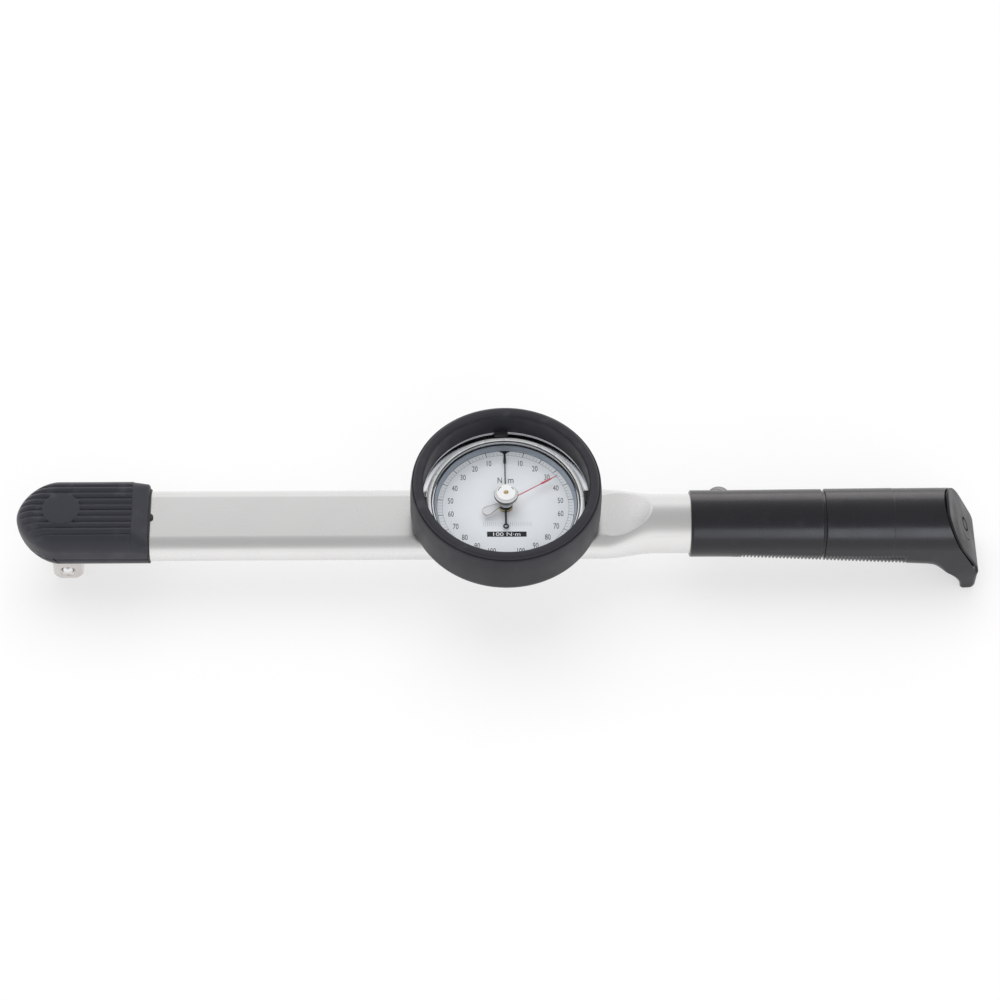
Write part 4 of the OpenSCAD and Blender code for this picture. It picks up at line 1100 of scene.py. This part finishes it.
def make_facet():
    """The slanted plate on the heel, over a darker spacer, with a plain ring and an arc sunk into it."""
    layers = [(0.25, -PLATE_T), (0.0, -PLATE_T + 0.25), (0.0, -0.4), (0.12, -0.15), (0.4, 0.0)]
    spacer_layers = [(1.2, -PLATE_T - PLATE_GAP - 0.4), (1.2, -PLATE_T + 0.1)]
    solids = []
    for solid_layers in (layers, spacer_layers):
        rings = [on_facet(facet_edge(shrink), height) for shrink, height in solid_layers]
        solids.append(([v for ring in rings for v in ring], rings_to_faces(len(rings), len(rings[0]))))
    plate = piece("grip_facet", *solids[0], "frame", FACET, slot="grip_black")
    piece("grip_facet_seat", *solids[1], "frame", SEAL, slot="seal_rubber")
    cut(plate, [facet_groove(2.3, 3.3, 0, 350, 0.5), facet_groove(7.0, 7.35, 140, 250, 0.35)])


def make_grip_screw():
    low, high = corners("grip_screw")
    x = (low[0] + high[0]) / 2
    seat, base, apex, r, shank_r = 13.6, 15.0, high[1], 5.25, 2.45
    rise = apex - base
    ball = (r ** 2 + rise ** 2) / (2 * rise)
    half = degrees(asin(r / ball))
    dome = arc(0, apex - ball, ball, 90 - half, 90, 20)
    outline = [(0, 5.0), (shank_r, 5.0), (shank_r, seat), (r - 0.1, seat), (r, seat + 0.1)] + dome
    screw = piece("grip_screw_skin", *y_lathe(outline, x), "frame", BLACK_STEEL, ["grip_screw"],
                  "fastener_black")
    hexagon = arc(0, 0, 2.0, 0, 300, 5)
    verts = [(x + u, y, v) for y in (apex - 2.2, apex + 2) for u, v in hexagon]
    cut(screw, [(verts, rings_to_faces(2, 6))])


# ---- build

for make in (make_cover, make_boss, make_nub, make_drive, make_ball, make_detent_spring, make_tube,
             make_guard, make_band, make_bezel, make_lens, make_dial, make_main_pointer,
             make_memory_hand, make_knob, make_grip, make_grip_screw):
    make()


# ---- floor, light and camera

def floor_material():
    """Pale paper that glows a little, so that shadows on it stay faint."""
    new, tree, in_mm = start_material("pale floor")
    colour = ramp(tree, noise(tree, in_mm, 180.0, 3.0), [(0.3, 0.335), (0.7, 0.345)])
    bump = add(tree, "Bump", {"Height": noise(tree, in_mm, 1.2, 2.0), "Distance": 0.02 * MM})
    shader = add(tree, "BsdfPrincipled", {"Base Color": colour, "Roughness": 0.75, "Specular IOR Level": 0.1,
                                          "Emission Color": (1, 1, 1, 1), "Emission Strength": 0.58,
                                          "Normal": bump.outputs["Normal"]})
    add(tree, "OutputMaterial", {"Surface": shader.outputs["BSDF"]})
    return new


def make_floor():
    mesh = bmesh.new()
    bmesh.ops.create_grid(mesh, x_segments=2, y_segments=2, size=6.0)
    data = bpy.data.meshes.new("floor")
    mesh.to_mesh(data)
    mesh.free()
    data.materials.append(floor_material())
    obj = new_object("floor", data)
    obj.location = (DIAL_X * MM, 0, cad_box[0][2])


def make_world():
    """A studio all round: white near the horizon, grey overhead and behind the camera."""
    world = bpy.data.worlds.new("studio")
    bpy.context.scene.world = world
    world.use_nodes = True
    tree = world.node_tree
    tree.nodes.clear()
    way = add(tree, "SeparateXYZ", {"Vector": add(tree, "TexCoord").outputs["Generated"]})
    height = maths(tree, "ADD", way.outputs["Z"], maths(tree, "MULTIPLY", way.outputs["Y"], -0.25))
    light = ramp(tree, height, [(0.0, 0.95), (0.45, 1.0), (0.66, 0.80), (0.80, 0.60), (1.0, 0.52)])
    background = add(tree, "Background", {"Color": light, "Strength": 1.0})
    add(tree, "OutputWorld", {"Surface": background.outputs["Background"]})


def soft_light(name, place, target, size, power, only=None, colour=(1.0, 1.0, 1.0)):
    """A large light. It lights matte surfaces, or shines on just the pieces in a collection."""
    data = bpy.data.lights.new(name, "AREA")
    data.shape = "RECTANGLE"
    data.size, data.size_y = size
    data.energy = power
    data.color = colour
    obj = new_object(name, data)
    obj.location = place
    obj.rotation_euler = (Vector(target) - Vector(place)).to_track_quat("-Z", "Y").to_euler()
    obj.visible_glossy = only is not None
    if only is not None:
        obj.light_linking.receiver_collection = only


def make_camera():
    rise, turn, roll = radians(54.73), radians(-2.29), radians(1.608)
    distance = 1.459
    target = Vector((0.19007, 0.0, 0.03451))
    back = Vector((sin(turn) * cos(rise), -cos(turn) * cos(rise), sin(rise)))
    right = Vector((cos(turn), sin(turn), 0.0))
    up = back.cross(right)
    right, up = (cos(roll) * right + sin(roll) * up, cos(roll) * up - sin(roll) * right)
    data = bpy.data.cameras.new("camera")
    data.sensor_width = 36.0
    data.lens = 121.3
    obj = new_object("camera", data)
    turn_matrix = Matrix((right, up, back)).transposed().to_4x4()
    obj.matrix_world = Matrix.Translation(target + distance * back) @ turn_matrix
    bpy.context.scene.camera = obj


make_floor()
make_world()
middle = (DIAL_X * MM, 0.0, 0.0)
soft_light("key", (0.0, 0.5, 1.6), middle, (1.6, 1.6), 16.0)
soft_light("fill", (0.5, -1.2, 1.2), middle, (1.4, 1.4), 7.0)
grip_pieces = bpy.data.collections.new("grip pieces")
for name in ("grip_body", "grip_heel", "grip_screw_skin"):
    grip_pieces.objects.link(bpy.data.objects[name])
grip_middle = (0.335, 0.0, AXIS_Z * MM)
soft_light("grip front strip", (0.62, -0.94, 0.36), grip_middle, (0.5, 0.6), 2.8, grip_pieces,
           (0.85, 0.90, 1.0))
soft_light("grip back strip", (0.40, 0.93, 0.36), grip_middle, (1.5, 0.62), 5.6, grip_pieces,
           (1.0, 0.93, 0.93))
make_camera()
bpy.context.scene.view_settings.view_transform = "Standard"
